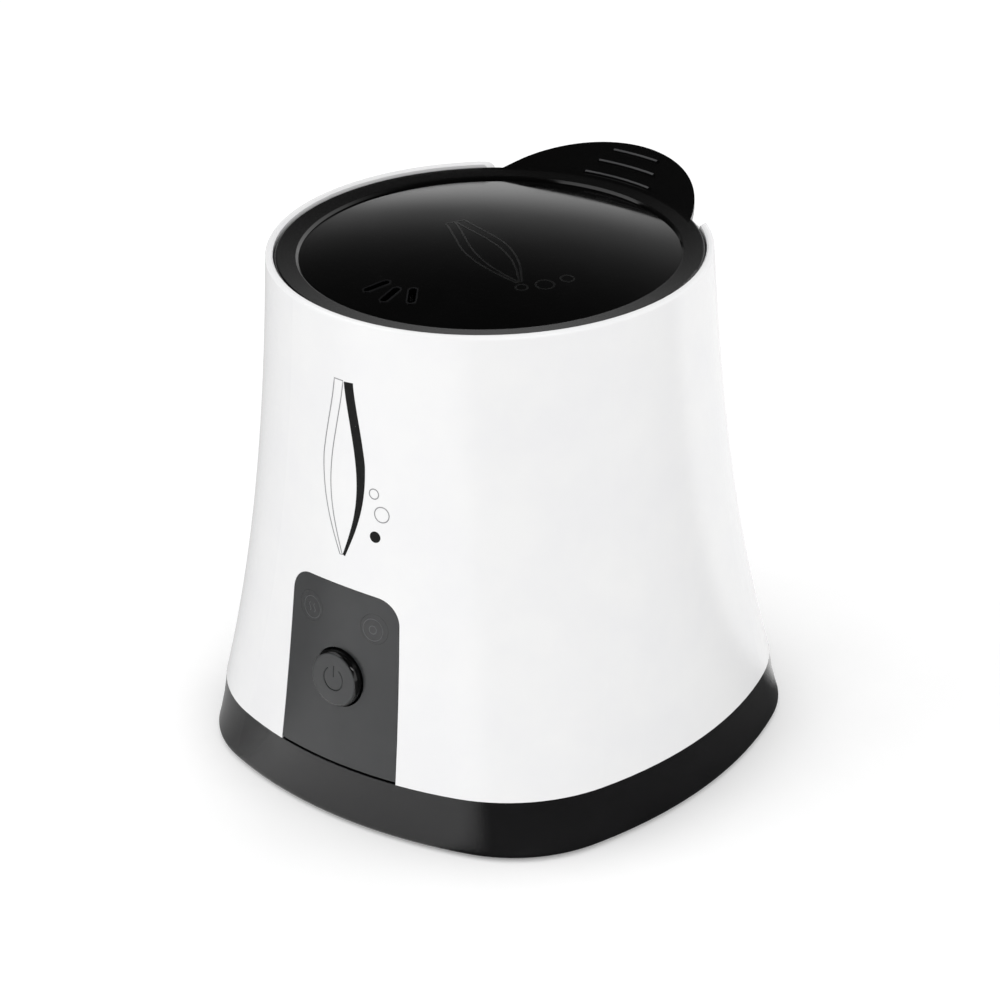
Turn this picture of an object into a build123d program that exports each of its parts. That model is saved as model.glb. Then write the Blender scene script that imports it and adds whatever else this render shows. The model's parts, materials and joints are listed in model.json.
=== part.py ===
from build123d import *
import math
import os

os.makedirs("parts", exist_ok=True)

# Frame: origin on the table under the middle of the base, +Z up, the control panel faces -Y.
# All lengths are in millimetres.

# Housing form: a rounded square at the foot that turns into a circle at the rim
body_height = 155.0
rim_radius = 64.4
foot_half_width = 79.7
foot_side_radius = 144.5
foot_corner_radius = 41.1
flare_share = 0.468
flare_power = 2.53
round_power = 1.6
wall = 2.2
seam_height = 18.1
round_floor = 0.001
section_steps = (0.0, 0.16, 0.34, 0.54, 0.74, 0.9, 1.0)
overrun = 2.0

# Fits
part_gap = 0.15
slide_gap = 0.05
lens_gap = 0.05
button_gap = 0.5

# Base tray
tray_bottom = 1.0
tray_floor = 2.5
tray_set_in = 1.4
tray_half_bottom = foot_half_width - tray_set_in
tray_flare_power = 2.0
tray_bottom_round = 1.2
lip_height = 3.0
lip_thickness = 1.6
vent_length = 22.0
vent_width = 3.0
vent_pitch = 7.0
vent_row_pitch = 34.0
vent_count = 5
vent_centre_y = -4.0

# Feet
foot_radius = 8.0
foot_set_in = 31.7
foot_spread = foot_half_width - foot_set_in
foot_recess = 0.8
foot_edge = 0.5

# Screws that hold the shell to the tray
shell_post_set_in = 15.7
shell_post_x = foot_half_width - shell_post_set_in
shell_post_y = 20.0
shell_post_radius = 4.5
shell_post_top = 44.0
shell_post_rib = 3.0
shell_post_bore = 20.0
screw_head_radius = 3.0
screw_head_height = 1.2
screw_radius = 1.4
screw_length = 14.0
counterbore_depth = 1.3

# Rim and the notch that lets the lid's lift pass
rim_outer_round = 1.0
rim_inner_round = 0.6
notch_half_width = 39.0
notch_depth = 4.6
notch_round = 3.0
notch_foot_round = 1.2

# Control panel set into the front wall
panel_half_bottom = 21.6
panel_half_top = 19.4
panel_top = 73.9
panel_arch = 0.9
panel_corner = 7.5
panel_bottom_gap = 0.8
panel_flange = 1.2
panel_flange_reach = 3.0
panel_flange_bottom = 21.6

# Power button
button_height = 45.5
button_radius = 8.5
button_proud = 2.4
button_travel = 1.6
button_round = 1.2
button_skirt = 5.2
button_web = 1.8
button_wall = 1.2
stem_radius = 2.6
stem_end = 9.2

# Switch behind the button
bracket_depth = 13.0
bracket_sheet = 1.2
bracket_width = 36.0
bracket_rise = 15.0
bracket_edge = 2.0
boss_spread = 13.0
boss_radius = 3.0
boss_root = 1.4
boss_bore = 6.0
switch_width = 14.0
switch_rise = 13.0
switch_depth = 18.0
switch_edge = 0.6
switch_leg_spread = 4.0
switch_leg_length = 5.0
switch_leg_width = 3.0
switch_leg_sheet = 0.8
plunger_radius = 1.8
plunger_inside = 3.0
plunger_clear = 0.8
pan_head_radius = 2.4
pan_head_height = 1.6
pan_head_round = 0.5
small_screw_radius = 1.2
small_screw_length = 6.0

# Indicator windows and their board
lamp_height = 63.8
lamp_spread = 11.8
lens_radius = 4.6
lens_length = 6.5
board_depth = 12.0
board_sheet = 1.6
board_width = 34.0
board_rise = 12.0
board_edge = 1.0
led_radius = 1.5
led_length = 4.4
led_dome = 1.4
led_collar_radius = 1.9
led_collar_height = 1.0

# Lid, sunk a little below the rim
lid_sink = 1.0
lid_gap = 0.3
lid_top = body_height - lid_sink
lid_radius = rim_radius - wall - lid_gap
lid_flange = 3.0
lid_skin = 2.2
lid_edge = 0.7
ring_inner = 55.7
ring_fall = 0.55
ring_round = 0.25
dome_radius = 55.0
dome_drop = 0.8
dome_foot = lid_top - ring_fall - dome_drop
dome_rise = 4.3
dome_top = dome_foot + dome_rise
lift_radius = 37.2
lift_reach = 12.2
lift_centre = lid_radius + lift_reach - lift_radius
lift_rises = ((-2.5, -0.25), (-0.3, 0.35), (2.1, 1.6), (5.6, 3.5), (9.1, 5.4), (13.6, 7.9))
lift_profile = [(lid_radius + out, rise) for out, rise in lift_rises]
lift_skin = 2.1
rib_steps = (0.0, 4.4, 8.7)
rib_half_angles = (11.3, 9.1, 6.9)
rib_width = 0.9
rib_rise = 0.45
slot_places = ((-7.5, -41.2, 70.0), (-0.9, -43.2, 96.0), (4.9, -40.6, 125.0))
slot_length = 8.0
slot_width = 2.2

# Deck under the lid and the seat ring between them
seat_top = lid_top - lid_flange
seat_height = 10.0
seat_wall = 3.9
seat_edge = 0.5
deck_top = seat_top - seat_height
deck_sheet = 2.0
deck_radius = rim_radius - wall - lid_gap
seat_set_in = 0.2
seat_outer = deck_radius - seat_set_in
seat_inner = seat_outer - seat_wall
guide_gap = 0.4
guide_wall = 1.5
guide_depth = 3.6
guide_outer = seat_inner - guide_gap
guide_inner = guide_outer - guide_wall

# Bead cup
cup_inner = 18.0
cup_outer = 20.5
cup_depth = 54.0
cup_floor_top = deck_top - cup_depth
cup_floor = 3.0
cup_flange_radius = 27.0
cup_flange = 2.2
cup_mouth_chamfer = 0.8
cup_foot_round = 1.5
cup_screw_circle = 24.0
cup_screw_count = 3
bead_drop = 11.0
bead_level = deck_top - bead_drop
bead_round = 0.8

# Heater band
heater_rise = 7.0
heater_width = 30.0
heater_low = cup_floor_top + heater_rise
heater_high = heater_low + heater_width
heater_thickness = 2.6
heater_split = 4.0
ear_rise = 7.0
ear_width = 16.0
ear_low = heater_low + ear_rise
ear_high = ear_low + ear_width
ear_reach = 31.0
ear_sheet = 1.4
clamp_x = 27.6
clamp_head_radius = 2.8
clamp_head_height = 1.8
clamp_screw_radius = 1.4
clamp_tail = 1.4
nut_across = 5.0
nut_height = 2.4
lug_y = 9.5
lug_width = 3.0
lug_reach = 28.0
lug_height = 8.0

# Insulation and heat shield
sleeve_inner = 25.0
sleeve_outer = 32.8
sleeve_drop = 4.5
sleeve_top = deck_top - sleeve_drop
sleeve_bottom = cup_floor_top - cup_floor - 2.0 * slide_gap
sleeve_window = 15.0
window_margin = 4.0
window_low = ear_low - window_margin
window_high = ear_high + window_margin
disc_thickness = 3.1
shield_sheet = 0.8
shield_outer = 34.0
shield_bottom = sleeve_bottom - disc_thickness - shield_sheet
shield_flange_radius = 40.5
shield_window = 13.0
shield_screw_circle = 37.3
shield_screw_count = 3
shield_screw_turn = 90.0

# Posts between the tray and the deck
post_spread = 32.5
post_radius = 4.0
post_bore = 12.0
deck_screw_length = 9.0

# Limit switch under the deck
limit_x = 50.0
limit_radius = 7.6
limit_height = 9.5
limit_flange = 2.0
limit_flange_half = 15.0
limit_flange_width = 9.0
limit_round = 0.8
limit_leg_y = 4.0
limit_leg = 8.5
limit_leg_width = 3.2
limit_leg_sheet = 0.8
limit_screw_y = 11.6

# Earth tag under the deck
tag_x = -48.0
tag_width = 8.0
tag_length = 17.0
tag_sheet = 1.0
tag_screw_y = -4.5
tag_wire_y = 5.0

# Terminal block on the tray floor
block_centre_y = 5.0
block_half_y = 9.0
block_length = 44.0
block_height = 15.0
block_pitch = 10.0
block_poles = 3
block_neck = 5.0
block_screw_x = 18.5
block_pilot = 1.5
block_edge = 0.8
port_height = 8.5
driver_radius = 1.8
driver_depth = 3.0

# Mains inlet at the back
inlet_height = 45.0
inlet_sink = 6.84
inlet_plate_sheet = 3.0
inlet_pocket_half_x = 26.5
inlet_pocket_half_z = 13.0
inlet_pocket_round = 2.0
inlet_frame = 2.2
inlet_flange_half_x = 25.0
inlet_flange_half_z = 11.3
inlet_flange = 2.8
inlet_flange_round = 3.0
inlet_body_half_x = 13.5
inlet_body_half_z = 9.8
inlet_body_cut = 3.2
inlet_body_depth = 24.0
inlet_fit = 0.2
socket_half_x = 12.2
socket_half_z = 8.2
socket_depth = 21.0
socket_cut = 3.0
pin_spread = 7.0
pin_low = -2.0
pin_high = 2.0
pin_width = 2.0
pin_thickness = 4.0
pin_length = 16.0
blade_width = 4.8
blade_sheet = 0.8
blade_length = 8.0
inlet_screw_x = 20.0
inlet_boss_radius = 3.4
inlet_boss_depth = 6.0
inlet_head_radius = 2.6
inlet_head_height = 1.5

# Internal wiring
wire_radius = 1.0
live_way = (12.0, 26.0, 26.0)
neutral_way = (-12.0, 26.0, 26.0)
earth_way = (0.0, 25.0, 30.0)
switch_feed_way = (12.0, -16.0, 24.0)
switch_out_ways = ((-6.0, -26.0, 50.0), (30.0, -18.0, 66.0), (54.0, -3.0, 96.0))
heater_link_way = (46.0, -8.0, 111.0)
heater_return_ways = ((-4.0, -14.0, 28.0), (28.0, 6.0, 60.0), (44.0, 14.0, 88.0))
earth_out_ways = ((-6.0, -12.0, 22.0), (-40.0, -4.0, 60.0), (-50.0, 2.0, 100.0))


# Sizes of the housing section at one height, as half width, side radius and corner radius
def section_sizes(height):
    drop = max(1.0 - height / body_height, 0.0)
    flare = flare_share * drop + (1.0 - flare_share) * drop ** flare_power
    half_width = rim_radius + (foot_half_width - rim_radius) * flare
    squareness = max(drop, round_floor) ** round_power
    side = 1.0 / (1.0 / half_width + (1.0 / foot_side_radius - 1.0 / half_width) * squareness)
    corner = half_width + (foot_corner_radius - half_width) * squareness
    return half_width, side, corner


# Eight tangent arcs that close one rounded square
def draw_section(half_width, side, corner):
    shift = side - half_width
    reach = side - corner
    place = (math.sqrt(2.0 * reach ** 2 - shift ** 2) - shift) / 2.0
    half_turn = math.degrees(math.atan2(place, place + shift))
    for quarter in range(4):
        turn = 90.0 * quarter
        side_direction = math.radians(turn)
        corner_direction = math.radians(turn + 45.0)
        side_centre = (-shift * math.cos(side_direction), -shift * math.sin(side_direction))
        diagonal = place * math.sqrt(2.0)
        corner_centre = (diagonal * math.cos(corner_direction), diagonal * math.sin(corner_direction))
        CenterArc(side_centre, side, turn - half_turn, 2.0 * half_turn)
        CenterArc(corner_centre, corner, turn + half_turn, 90.0 - 2.0 * half_turn)


# Sizes of the tray section at one height, spreading in a smooth curve from the seam to the foot
def tray_sizes(height):
    half_width, side, corner = section_sizes(height)
    seam_half = section_sizes(seam_height)[0]
    drop = (seam_height - height) / (seam_height - tray_bottom)
    grow = seam_half + (tray_half_bottom - seam_half) * drop ** tray_flare_power - half_width
    return half_width + grow, side + grow, corner + grow


# Solid housing form between two heights, set in from the outer surface by a fixed distance
def housing_form(inset, low, high, sizes=section_sizes):
    with BuildPart() as form:
        for step in section_steps:
            height = low + (high - low) * step
            half_width, side, corner = sizes(height)
            with BuildSketch(Plane.XY.offset(height)):
                with BuildLine():
                    draw_section(half_width - inset, side - inset, corner - inset)
                make_face()
        loft()
    return form.part


# Depth of the front wall and its lean at one height
def wall_reach(height):
    return section_sizes(height)[0]


def wall_lean(height):
    rise = 1.0
    fall = wall_reach(height - rise) - wall_reach(height + rise)
    return math.atan2(fall, 2.0 * rise)


# Working plane on the front wall, its normal pointing out of the housing
def front_plane(height):
    lean = wall_lean(height)
    return Plane(
        origin=(0, -wall_reach(height), height),
        x_dir=(1, 0, 0),
        z_dir=(0, -math.cos(lean), math.sin(lean)),
    )


# Working plane square to the front wall at one lamp
def lamp_plane(across, height):
    half_width, side, corner = section_sizes(height)
    depth = math.sqrt(side ** 2 - across ** 2)
    lean = wall_lean(height)
    outward = Vector(across / side, -depth / side, math.tan(lean)).normalized()
    return Plane(
        origin=(across, (side - half_width) - depth, height),
        x_dir=(depth / side, across / side, 0),
        z_dir=outward,
    )


# Face of the control panel seen from the front, grown by a given amount
def panel_face(grow, bottom):
    slope = (panel_half_bottom - panel_half_top) / (panel_top - seam_height)
    half_low = panel_half_bottom + slope * (seam_height - bottom) + grow
    half_high = panel_half_top - slope * grow + grow
    with BuildSketch(Plane.XZ) as outline:
        with BuildLine():
            Polyline(
                (-half_high, panel_top + grow - panel_arch),
                (-half_low, bottom),
                (half_low, bottom),
                (half_high, panel_top + grow - panel_arch),
            )
            ThreePointArc(
                (half_high, panel_top + grow - panel_arch),
                (0, panel_top + grow),
                (-half_high, panel_top + grow - panel_arch),
            )
        make_face()
        fillet(vertices().group_by(Axis.Y)[-1], panel_corner + grow)
    return outline.sketch


floor_top = tray_bottom + tray_floor
notch_floor = body_height - notch_depth
tray_inset = wall + part_gap + lip_thickness
button_plane = front_plane(button_height)
button_axis = Axis(button_plane.origin, button_plane.z_dir)
lamp_board_plane = front_plane(lamp_height)
lamp_axis = Axis(lamp_board_plane.origin, lamp_board_plane.z_dir)
lamp_planes = {
    "left": lamp_plane(-lamp_spread, lamp_height),
    "right": lamp_plane(lamp_spread, lamp_height),
}
outer_form = housing_form(0.0, seam_height, body_height)
inner_form = housing_form(wall, seam_height - overrun, body_height + overrun)
middle_form = housing_form(wall / 2.0, seam_height - overrun, body_height)
bracket_plane_back = button_plane.offset(-bracket_depth)

# Body shell: flared wall, round at the rim and a soft square at the foot
shell_posts = [
    (side_x * shell_post_x, side_y * shell_post_y)
    for side_x in (-1, 1)
    for side_y in (-1, 1)
]
deck_posts = [
    (side_x * post_spread, side_y * post_spread)
    for side_x in (-1, 1)
    for side_y in (-1, 1)
]
feet_names = ("foot_front_left", "foot_front_right", "foot_back_left", "foot_back_right")
feet_places = [
    (side_x * foot_spread, side_y * foot_spread)
    for side_y in (-1, 1)
    for side_x in (-1, 1)
]
post_names = ("post_front_left", "post_back_left", "post_front_right", "post_back_right")
deck_bottom = deck_top - deck_sheet
heater_outer = cup_outer + slide_gap + heater_thickness
heater_middle = (ear_low + ear_high) / 2.0
clamp_face = heater_split / 2.0 + ear_sheet
limit_holes = [(limit_x, -limit_screw_y), (limit_x, limit_screw_y)]
tag_hole = (tag_x, tag_screw_y)
inlet_plate_out = wall_reach(inlet_height) - inlet_sink
inlet_face = Plane(origin=(0, inlet_plate_out, inlet_height), x_dir=(-1, 0, 0), z_dir=(0, 1, 0))
pin_places = [(-pin_spread, pin_low), (0, pin_high), (pin_spread, pin_low)]

# Ends of the wires: block ports, switch legs, inlet blades and the parts under the deck
port_level = floor_top + port_height
port_front = block_centre_y - block_half_y
port_back = block_centre_y + block_half_y
blade_end = inlet_plate_out - inlet_body_depth - blade_length
leg_end = button_plane.offset(-bracket_depth - switch_depth - switch_leg_length).origin
leg_way = (0, button_plane.z_dir.Y, button_plane.z_dir.Z)
limit_end = deck_bottom - limit_height - limit_leg
wire_runs = (
    (
        "wire_live_in",
        (pin_spread, blade_end, inlet_height + pin_low),
        (live_way,),
        (block_pitch, port_back, port_level),
        (0, -1, 0),
        (0, -1, 0),
    ),
    (
        "wire_neutral_in",
        (-pin_spread, blade_end, inlet_height + pin_low),
        (neutral_way,),
        (-block_pitch, port_back, port_level),
        (0, -1, 0),
        (0, -1, 0),
    ),
    (
        "wire_earth_in",
        (0, blade_end, inlet_height + pin_high),
        (earth_way,),
        (0, port_back, port_level),
        (0, -1, 0),
        (0, -1, 0),
    ),
    (
        "wire_switch_feed",
        (block_pitch, port_front, port_level),
        (switch_feed_way,),
        (switch_leg_spread, leg_end.Y, leg_end.Z),
        (0, -1, 0),
        leg_way,
    ),
    (
        "wire_switch_out",
        (-switch_leg_spread, leg_end.Y, leg_end.Z),
        switch_out_ways,
        (limit_x, limit_leg_y, limit_end),
        (0, -leg_way[1], -leg_way[2]),
        (0, 0, 1),
    ),
    (
        "wire_heater_link",
        (limit_x, -limit_leg_y, limit_end),
        (heater_link_way,),
        (lug_reach, -lug_y, heater_middle),
        (0, 0, -1),
        (-1, 0, 0),
    ),
    (
        "wire_heater_return",
        (-block_pitch, port_front, port_level),
        heater_return_ways,
        (lug_reach, lug_y, heater_middle),
        (0, -1, 0),
        (-1, 0, 0),
    ),
    (
        "wire_earth_out",
        (0, port_front, port_level),
        earth_out_ways,
        (tag_x, tag_wire_y, deck_bottom - tag_sheet),
        (0, -1, 0),
        (0, 0, 1),
    ),
)

# Webs that tie the screw posts to the wall
with BuildPart() as post_ribs:
    for post_x, post_y in shell_posts:
        rib_far = math.copysign(foot_half_width, post_x)
        with BuildSketch(Plane.XY.offset(seam_height + lip_height + part_gap)):
            with Locations(((post_x + rib_far) / 2.0, post_y)):
                Rectangle(abs(rib_far - post_x), shell_post_rib)
        extrude(amount=shell_post_top - seam_height - lip_height - part_gap)
    add(middle_form, mode=Mode.INTERSECT)

# Frame behind the inlet plate with its screw bosses
with BuildPart() as inlet_block:
    with BuildSketch(Plane.XZ.offset(-inlet_plate_out + inlet_plate_sheet)):
        with Locations((0, inlet_height)):
            RectangleRounded(
                2.0 * (inlet_pocket_half_x + inlet_frame),
                2.0 * (inlet_pocket_half_z + inlet_frame),
                inlet_pocket_round + inlet_frame,
            )
    extrude(amount=-foot_half_width + inlet_plate_out - inlet_plate_sheet)
    with BuildSketch(Plane.XZ.offset(-inlet_plate_out + inlet_plate_sheet)):
        with Locations((-inlet_screw_x, inlet_height), (inlet_screw_x, inlet_height)):
            Circle(inlet_boss_radius)
    extrude(amount=inlet_boss_depth)
    add(outer_form, mode=Mode.INTERSECT)

with BuildPart() as body_shell:
    add(outer_form)
    fillet(body_shell.edges().group_by(Axis.Z)[-1], rim_outer_round)
    add(inner_form, mode=Mode.SUBTRACT)
    with BuildSketch(Plane.XY.offset(body_height)):
        Circle(rim_radius - wall + rim_inner_round)
    extrude(amount=-rim_inner_round, taper=45.0, mode=Mode.SUBTRACT)
    add(inlet_block.part)
    add(post_ribs.part)
    with BuildSketch(Plane.XY.offset(floor_top)):
        with Locations(*shell_posts):
            Circle(shell_post_radius)
    extrude(amount=shell_post_top - floor_top)
    with BuildSketch(Plane.XY.offset(floor_top)):
        with Locations(*shell_posts):
            Circle(screw_radius + slide_gap)
    extrude(amount=shell_post_bore, mode=Mode.SUBTRACT)
    extrude(panel_face(part_gap, seam_height - overrun), amount=foot_half_width, mode=Mode.SUBTRACT)
    with BuildSketch(Plane.XZ):
        with BuildLine():
            for side_x, arc_start in ((-1, 0.0), (1, 90.0)):
                CenterArc(
                    (side_x * (notch_half_width + notch_round), body_height - notch_round),
                    notch_round,
                    arc_start,
                    90.0,
                )
                Line(
                    (side_x * notch_half_width, body_height - notch_round),
                    (side_x * notch_half_width, notch_floor + notch_foot_round),
                )
                Line(
                    (side_x * (notch_half_width + notch_round), body_height),
                    (side_x * (notch_half_width + notch_round), body_height + overrun),
                )
            for side_x, arc_start in ((-1, 180.0), (1, 270.0)):
                CenterArc(
                    (side_x * (notch_half_width - notch_foot_round), notch_floor + notch_foot_round),
                    notch_foot_round,
                    arc_start,
                    90.0,
                )
            Line(
                (-notch_half_width + notch_foot_round, notch_floor),
                (notch_half_width - notch_foot_round, notch_floor),
            )
            Line(
                (-notch_half_width - notch_round, body_height + overrun),
                (notch_half_width + notch_round, body_height + overrun),
            )
        make_face()
    extrude(amount=-foot_half_width, mode=Mode.SUBTRACT)
    with BuildSketch(Plane.XZ.offset(-inlet_plate_out)):
        with Locations((0, inlet_height)):
            RectangleRounded(2.0 * inlet_pocket_half_x, 2.0 * inlet_pocket_half_z, inlet_pocket_round)
    extrude(amount=-foot_half_width, mode=Mode.SUBTRACT)
    with BuildSketch(Plane.XZ.offset(-inlet_plate_out - slide_gap)):
        with Locations((0, inlet_height)):
            Rectangle(
                2.0 * (inlet_body_half_x + inlet_fit),
                2.0 * (inlet_body_half_z + inlet_fit),
            )
    extrude(amount=inlet_plate_sheet + overrun, mode=Mode.SUBTRACT)
    with BuildSketch(Plane.XZ.offset(-inlet_plate_out - slide_gap)):
        with Locations((-inlet_screw_x, inlet_height), (inlet_screw_x, inlet_height)):
            Circle(small_screw_radius + slide_gap)
    extrude(amount=inlet_plate_sheet + inlet_boss_depth, mode=Mode.SUBTRACT)
body_shell.part.label = "body_shell"
export_step(body_shell.part, "parts/body_shell.step")

# Base tray: floor and a wall that spreads in one smooth curve to a rounded foot
with BuildPart() as base_tray:
    add(housing_form(0.0, tray_bottom, seam_height, tray_sizes))
    fillet(base_tray.edges().group_by(Axis.Z)[0], tray_bottom_round)
    add(housing_form(wall + part_gap, seam_height - overrun, seam_height + lip_height))
    add(housing_form(tray_inset, floor_top, seam_height + lip_height + overrun), mode=Mode.SUBTRACT)
    with BuildSketch(Plane.XY.offset(tray_bottom)):
        with Locations(*feet_places):
            Circle(foot_radius + part_gap)
    extrude(amount=foot_recess, mode=Mode.SUBTRACT)
    with BuildSketch(Plane.XY.offset(tray_bottom)):
        with Locations(*shell_posts, *deck_posts):
            Circle(screw_head_radius + part_gap)
    extrude(amount=counterbore_depth, mode=Mode.SUBTRACT)
    with BuildSketch(Plane.XY.offset(tray_bottom)):
        with Locations(*shell_posts, *deck_posts):
            Circle(screw_radius + slide_gap)
    extrude(amount=tray_floor, mode=Mode.SUBTRACT)
    with BuildSketch(Plane.XY.offset(tray_bottom)):
        with Locations((0, vent_centre_y)):
            with GridLocations(vent_pitch, vent_row_pitch, vent_count, 2):
                SlotOverall(vent_length, vent_width, rotation=90)
    extrude(amount=tray_floor, mode=Mode.SUBTRACT)
    with BuildSketch(Plane.XY.offset(floor_top)):
        with Locations((-block_screw_x, block_centre_y), (block_screw_x, block_centre_y)):
            Circle(small_screw_radius + slide_gap)
    extrude(amount=-block_pilot, mode=Mode.SUBTRACT)
base_tray.part.label = "base_tray"
export_step(base_tray.part, "parts/base_tray.step")

# Rubber feet, each sunk a little into the tray
for foot_name, foot_place in zip(feet_names, feet_places):
    with BuildPart() as foot:
        with BuildSketch(Plane.XY):
            with Locations(foot_place):
                Circle(foot_radius)
        extrude(amount=tray_bottom + foot_recess)
        fillet(foot.edges().group_by(Axis.Z)[0], foot_edge)
    foot.part.label = foot_name
    export_step(foot.part, f"parts/{foot_name}.step")

# Screws from under the tray into the shell posts
with BuildPart() as tray_screws:
    with BuildSketch(Plane.XY.offset(tray_bottom + counterbore_depth)):
        with Locations(*shell_posts):
            Circle(screw_head_radius)
    extrude(amount=-screw_head_height)
    with BuildSketch(Plane.XY.offset(tray_bottom + counterbore_depth)):
        with Locations(*shell_posts):
            Circle(screw_radius)
    extrude(amount=screw_length)
tray_screws.part.label = "tray_screws"
export_step(tray_screws.part, "parts/tray_screws.step")

# Control panel: flush dark inlay that follows the flared front, with bosses behind it
panel_back_form = housing_form(wall + slide_gap, seam_height - overrun, body_height)
panel_flange_form = housing_form(wall + slide_gap + panel_flange, seam_height - overrun, body_height)
with BuildPart() as panel_frame:
    add(panel_back_form)
    add(panel_flange_form, mode=Mode.SUBTRACT)
    extrude(
        panel_face(panel_flange_reach, panel_flange_bottom),
        amount=foot_half_width,
        mode=Mode.INTERSECT,
    )

with BuildPart() as control_panel:
    add(outer_form)
    add(panel_back_form, mode=Mode.SUBTRACT)
    extrude(
        panel_face(0.0, seam_height + panel_bottom_gap),
        amount=foot_half_width,
        mode=Mode.INTERSECT,
    )
    add(panel_frame.part)
    with BuildSketch(button_plane.offset(-bracket_depth + bracket_sheet)):
        with Locations((-boss_spread, 0), (boss_spread, 0)):
            Circle(boss_radius)
    extrude(amount=bracket_depth - bracket_sheet - boss_root)
    with BuildSketch(lamp_board_plane.offset(-board_depth)):
        Circle(boss_radius)
    extrude(amount=board_depth - boss_root)
    with BuildSketch(button_plane.offset(-bracket_depth + bracket_sheet)):
        with Locations((-boss_spread, 0), (boss_spread, 0)):
            Circle(small_screw_radius + slide_gap)
    extrude(amount=boss_bore, mode=Mode.SUBTRACT)
    with BuildSketch(lamp_board_plane.offset(-board_depth)):
        Circle(small_screw_radius + slide_gap)
    extrude(amount=boss_bore, mode=Mode.SUBTRACT)
    with BuildSketch(button_plane):
        Circle(button_radius + button_gap)
    extrude(amount=wall + panel_flange + overrun, both=True, mode=Mode.SUBTRACT)
    for lamp_side in lamp_planes.values():
        with BuildSketch(lamp_side):
            Circle(lens_radius + lens_gap)
        extrude(amount=wall + panel_flange + overrun, both=True, mode=Mode.SUBTRACT)
control_panel.part.label = "control_panel"
export_step(control_panel.part, "parts/control_panel.step")

# Power button: hollow cap with a stem
with BuildPart() as power_button:
    with BuildSketch(button_plane.offset(button_proud)):
        Circle(button_radius)
    extrude(amount=-button_proud - button_skirt)
    fillet(power_button.edges().group_by(button_axis)[-1], button_round)
    with BuildSketch(button_plane.offset(-button_skirt)):
        Circle(button_radius - button_wall)
    extrude(amount=button_skirt + button_proud - button_web, mode=Mode.SUBTRACT)
    with BuildSketch(button_plane.offset(button_proud - button_web)):
        Circle(stem_radius)
    extrude(amount=-stem_end - button_proud + button_web)
power_button.part.label = "power_button"
export_step(power_button.part, "parts/power_button.step")

# Switch bracket, body and plunger behind the button
with BuildPart() as switch_bracket:
    with BuildSketch(bracket_plane_back):
        RectangleRounded(bracket_width, bracket_rise, bracket_edge)
        with Locations((-boss_spread, 0), (boss_spread, 0)):
            Circle(small_screw_radius + slide_gap, mode=Mode.SUBTRACT)
        Circle(plunger_radius + slide_gap, mode=Mode.SUBTRACT)
    extrude(amount=bracket_sheet)
switch_bracket.part.label = "switch_bracket"
export_step(switch_bracket.part, "parts/switch_bracket.step")

with BuildPart() as switch_body:
    with BuildSketch(bracket_plane_back):
        RectangleRounded(switch_width, switch_rise, switch_edge)
    extrude(amount=-switch_depth)
    with BuildSketch(bracket_plane_back):
        Circle(plunger_radius + slide_gap)
    extrude(amount=-plunger_inside - plunger_clear - button_travel, mode=Mode.SUBTRACT)
    with BuildSketch(bracket_plane_back.offset(-switch_depth)):
        with Locations((-switch_leg_spread, 0), (switch_leg_spread, 0)):
            Rectangle(switch_leg_width, switch_leg_sheet)
    extrude(amount=-switch_leg_length)
switch_body.part.label = "switch_body"
export_step(switch_body.part, "parts/switch_body.step")

with BuildPart() as switch_plunger:
    with BuildSketch(button_plane.offset(-stem_end)):
        Circle(plunger_radius)
    extrude(amount=-bracket_depth + stem_end - plunger_inside)
switch_plunger.part.label = "switch_plunger"
export_step(switch_plunger.part, "parts/switch_plunger.step")

# Pan-head screws that hold the bracket and the lamp board to the panel bosses
with BuildPart() as bracket_screws:
    with BuildSketch(bracket_plane_back):
        with Locations((-boss_spread, 0), (boss_spread, 0)):
            Circle(pan_head_radius)
    extrude(amount=-pan_head_height)
    fillet(bracket_screws.edges().group_by(button_axis)[0], pan_head_round)
    with BuildSketch(bracket_plane_back):
        with Locations((-boss_spread, 0), (boss_spread, 0)):
            Circle(small_screw_radius)
    extrude(amount=small_screw_length)
bracket_screws.part.label = "bracket_screws"
export_step(bracket_screws.part, "parts/bracket_screws.step")

board_back = lamp_board_plane.offset(-board_depth - board_sheet)
with BuildPart() as board_screw:
    with BuildSketch(board_back):
        Circle(pan_head_radius)
    extrude(amount=-pan_head_height)
    fillet(board_screw.edges().group_by(lamp_axis)[0], pan_head_round)
    with BuildSketch(board_back):
        Circle(small_screw_radius)
    extrude(amount=small_screw_length)
board_screw.part.label = "board_screw"
export_step(board_screw.part, "parts/board_screw.step")

# Lamp board on its boss
with BuildPart() as lamp_board:
    with BuildSketch(lamp_board_plane.offset(-board_depth)):
        RectangleRounded(board_width, board_rise, board_edge)
        Circle(small_screw_radius + slide_gap, mode=Mode.SUBTRACT)
    extrude(amount=-board_sheet)
lamp_board.part.label = "lamp_board"
export_step(lamp_board.part, "parts/lamp_board.step")

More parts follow.
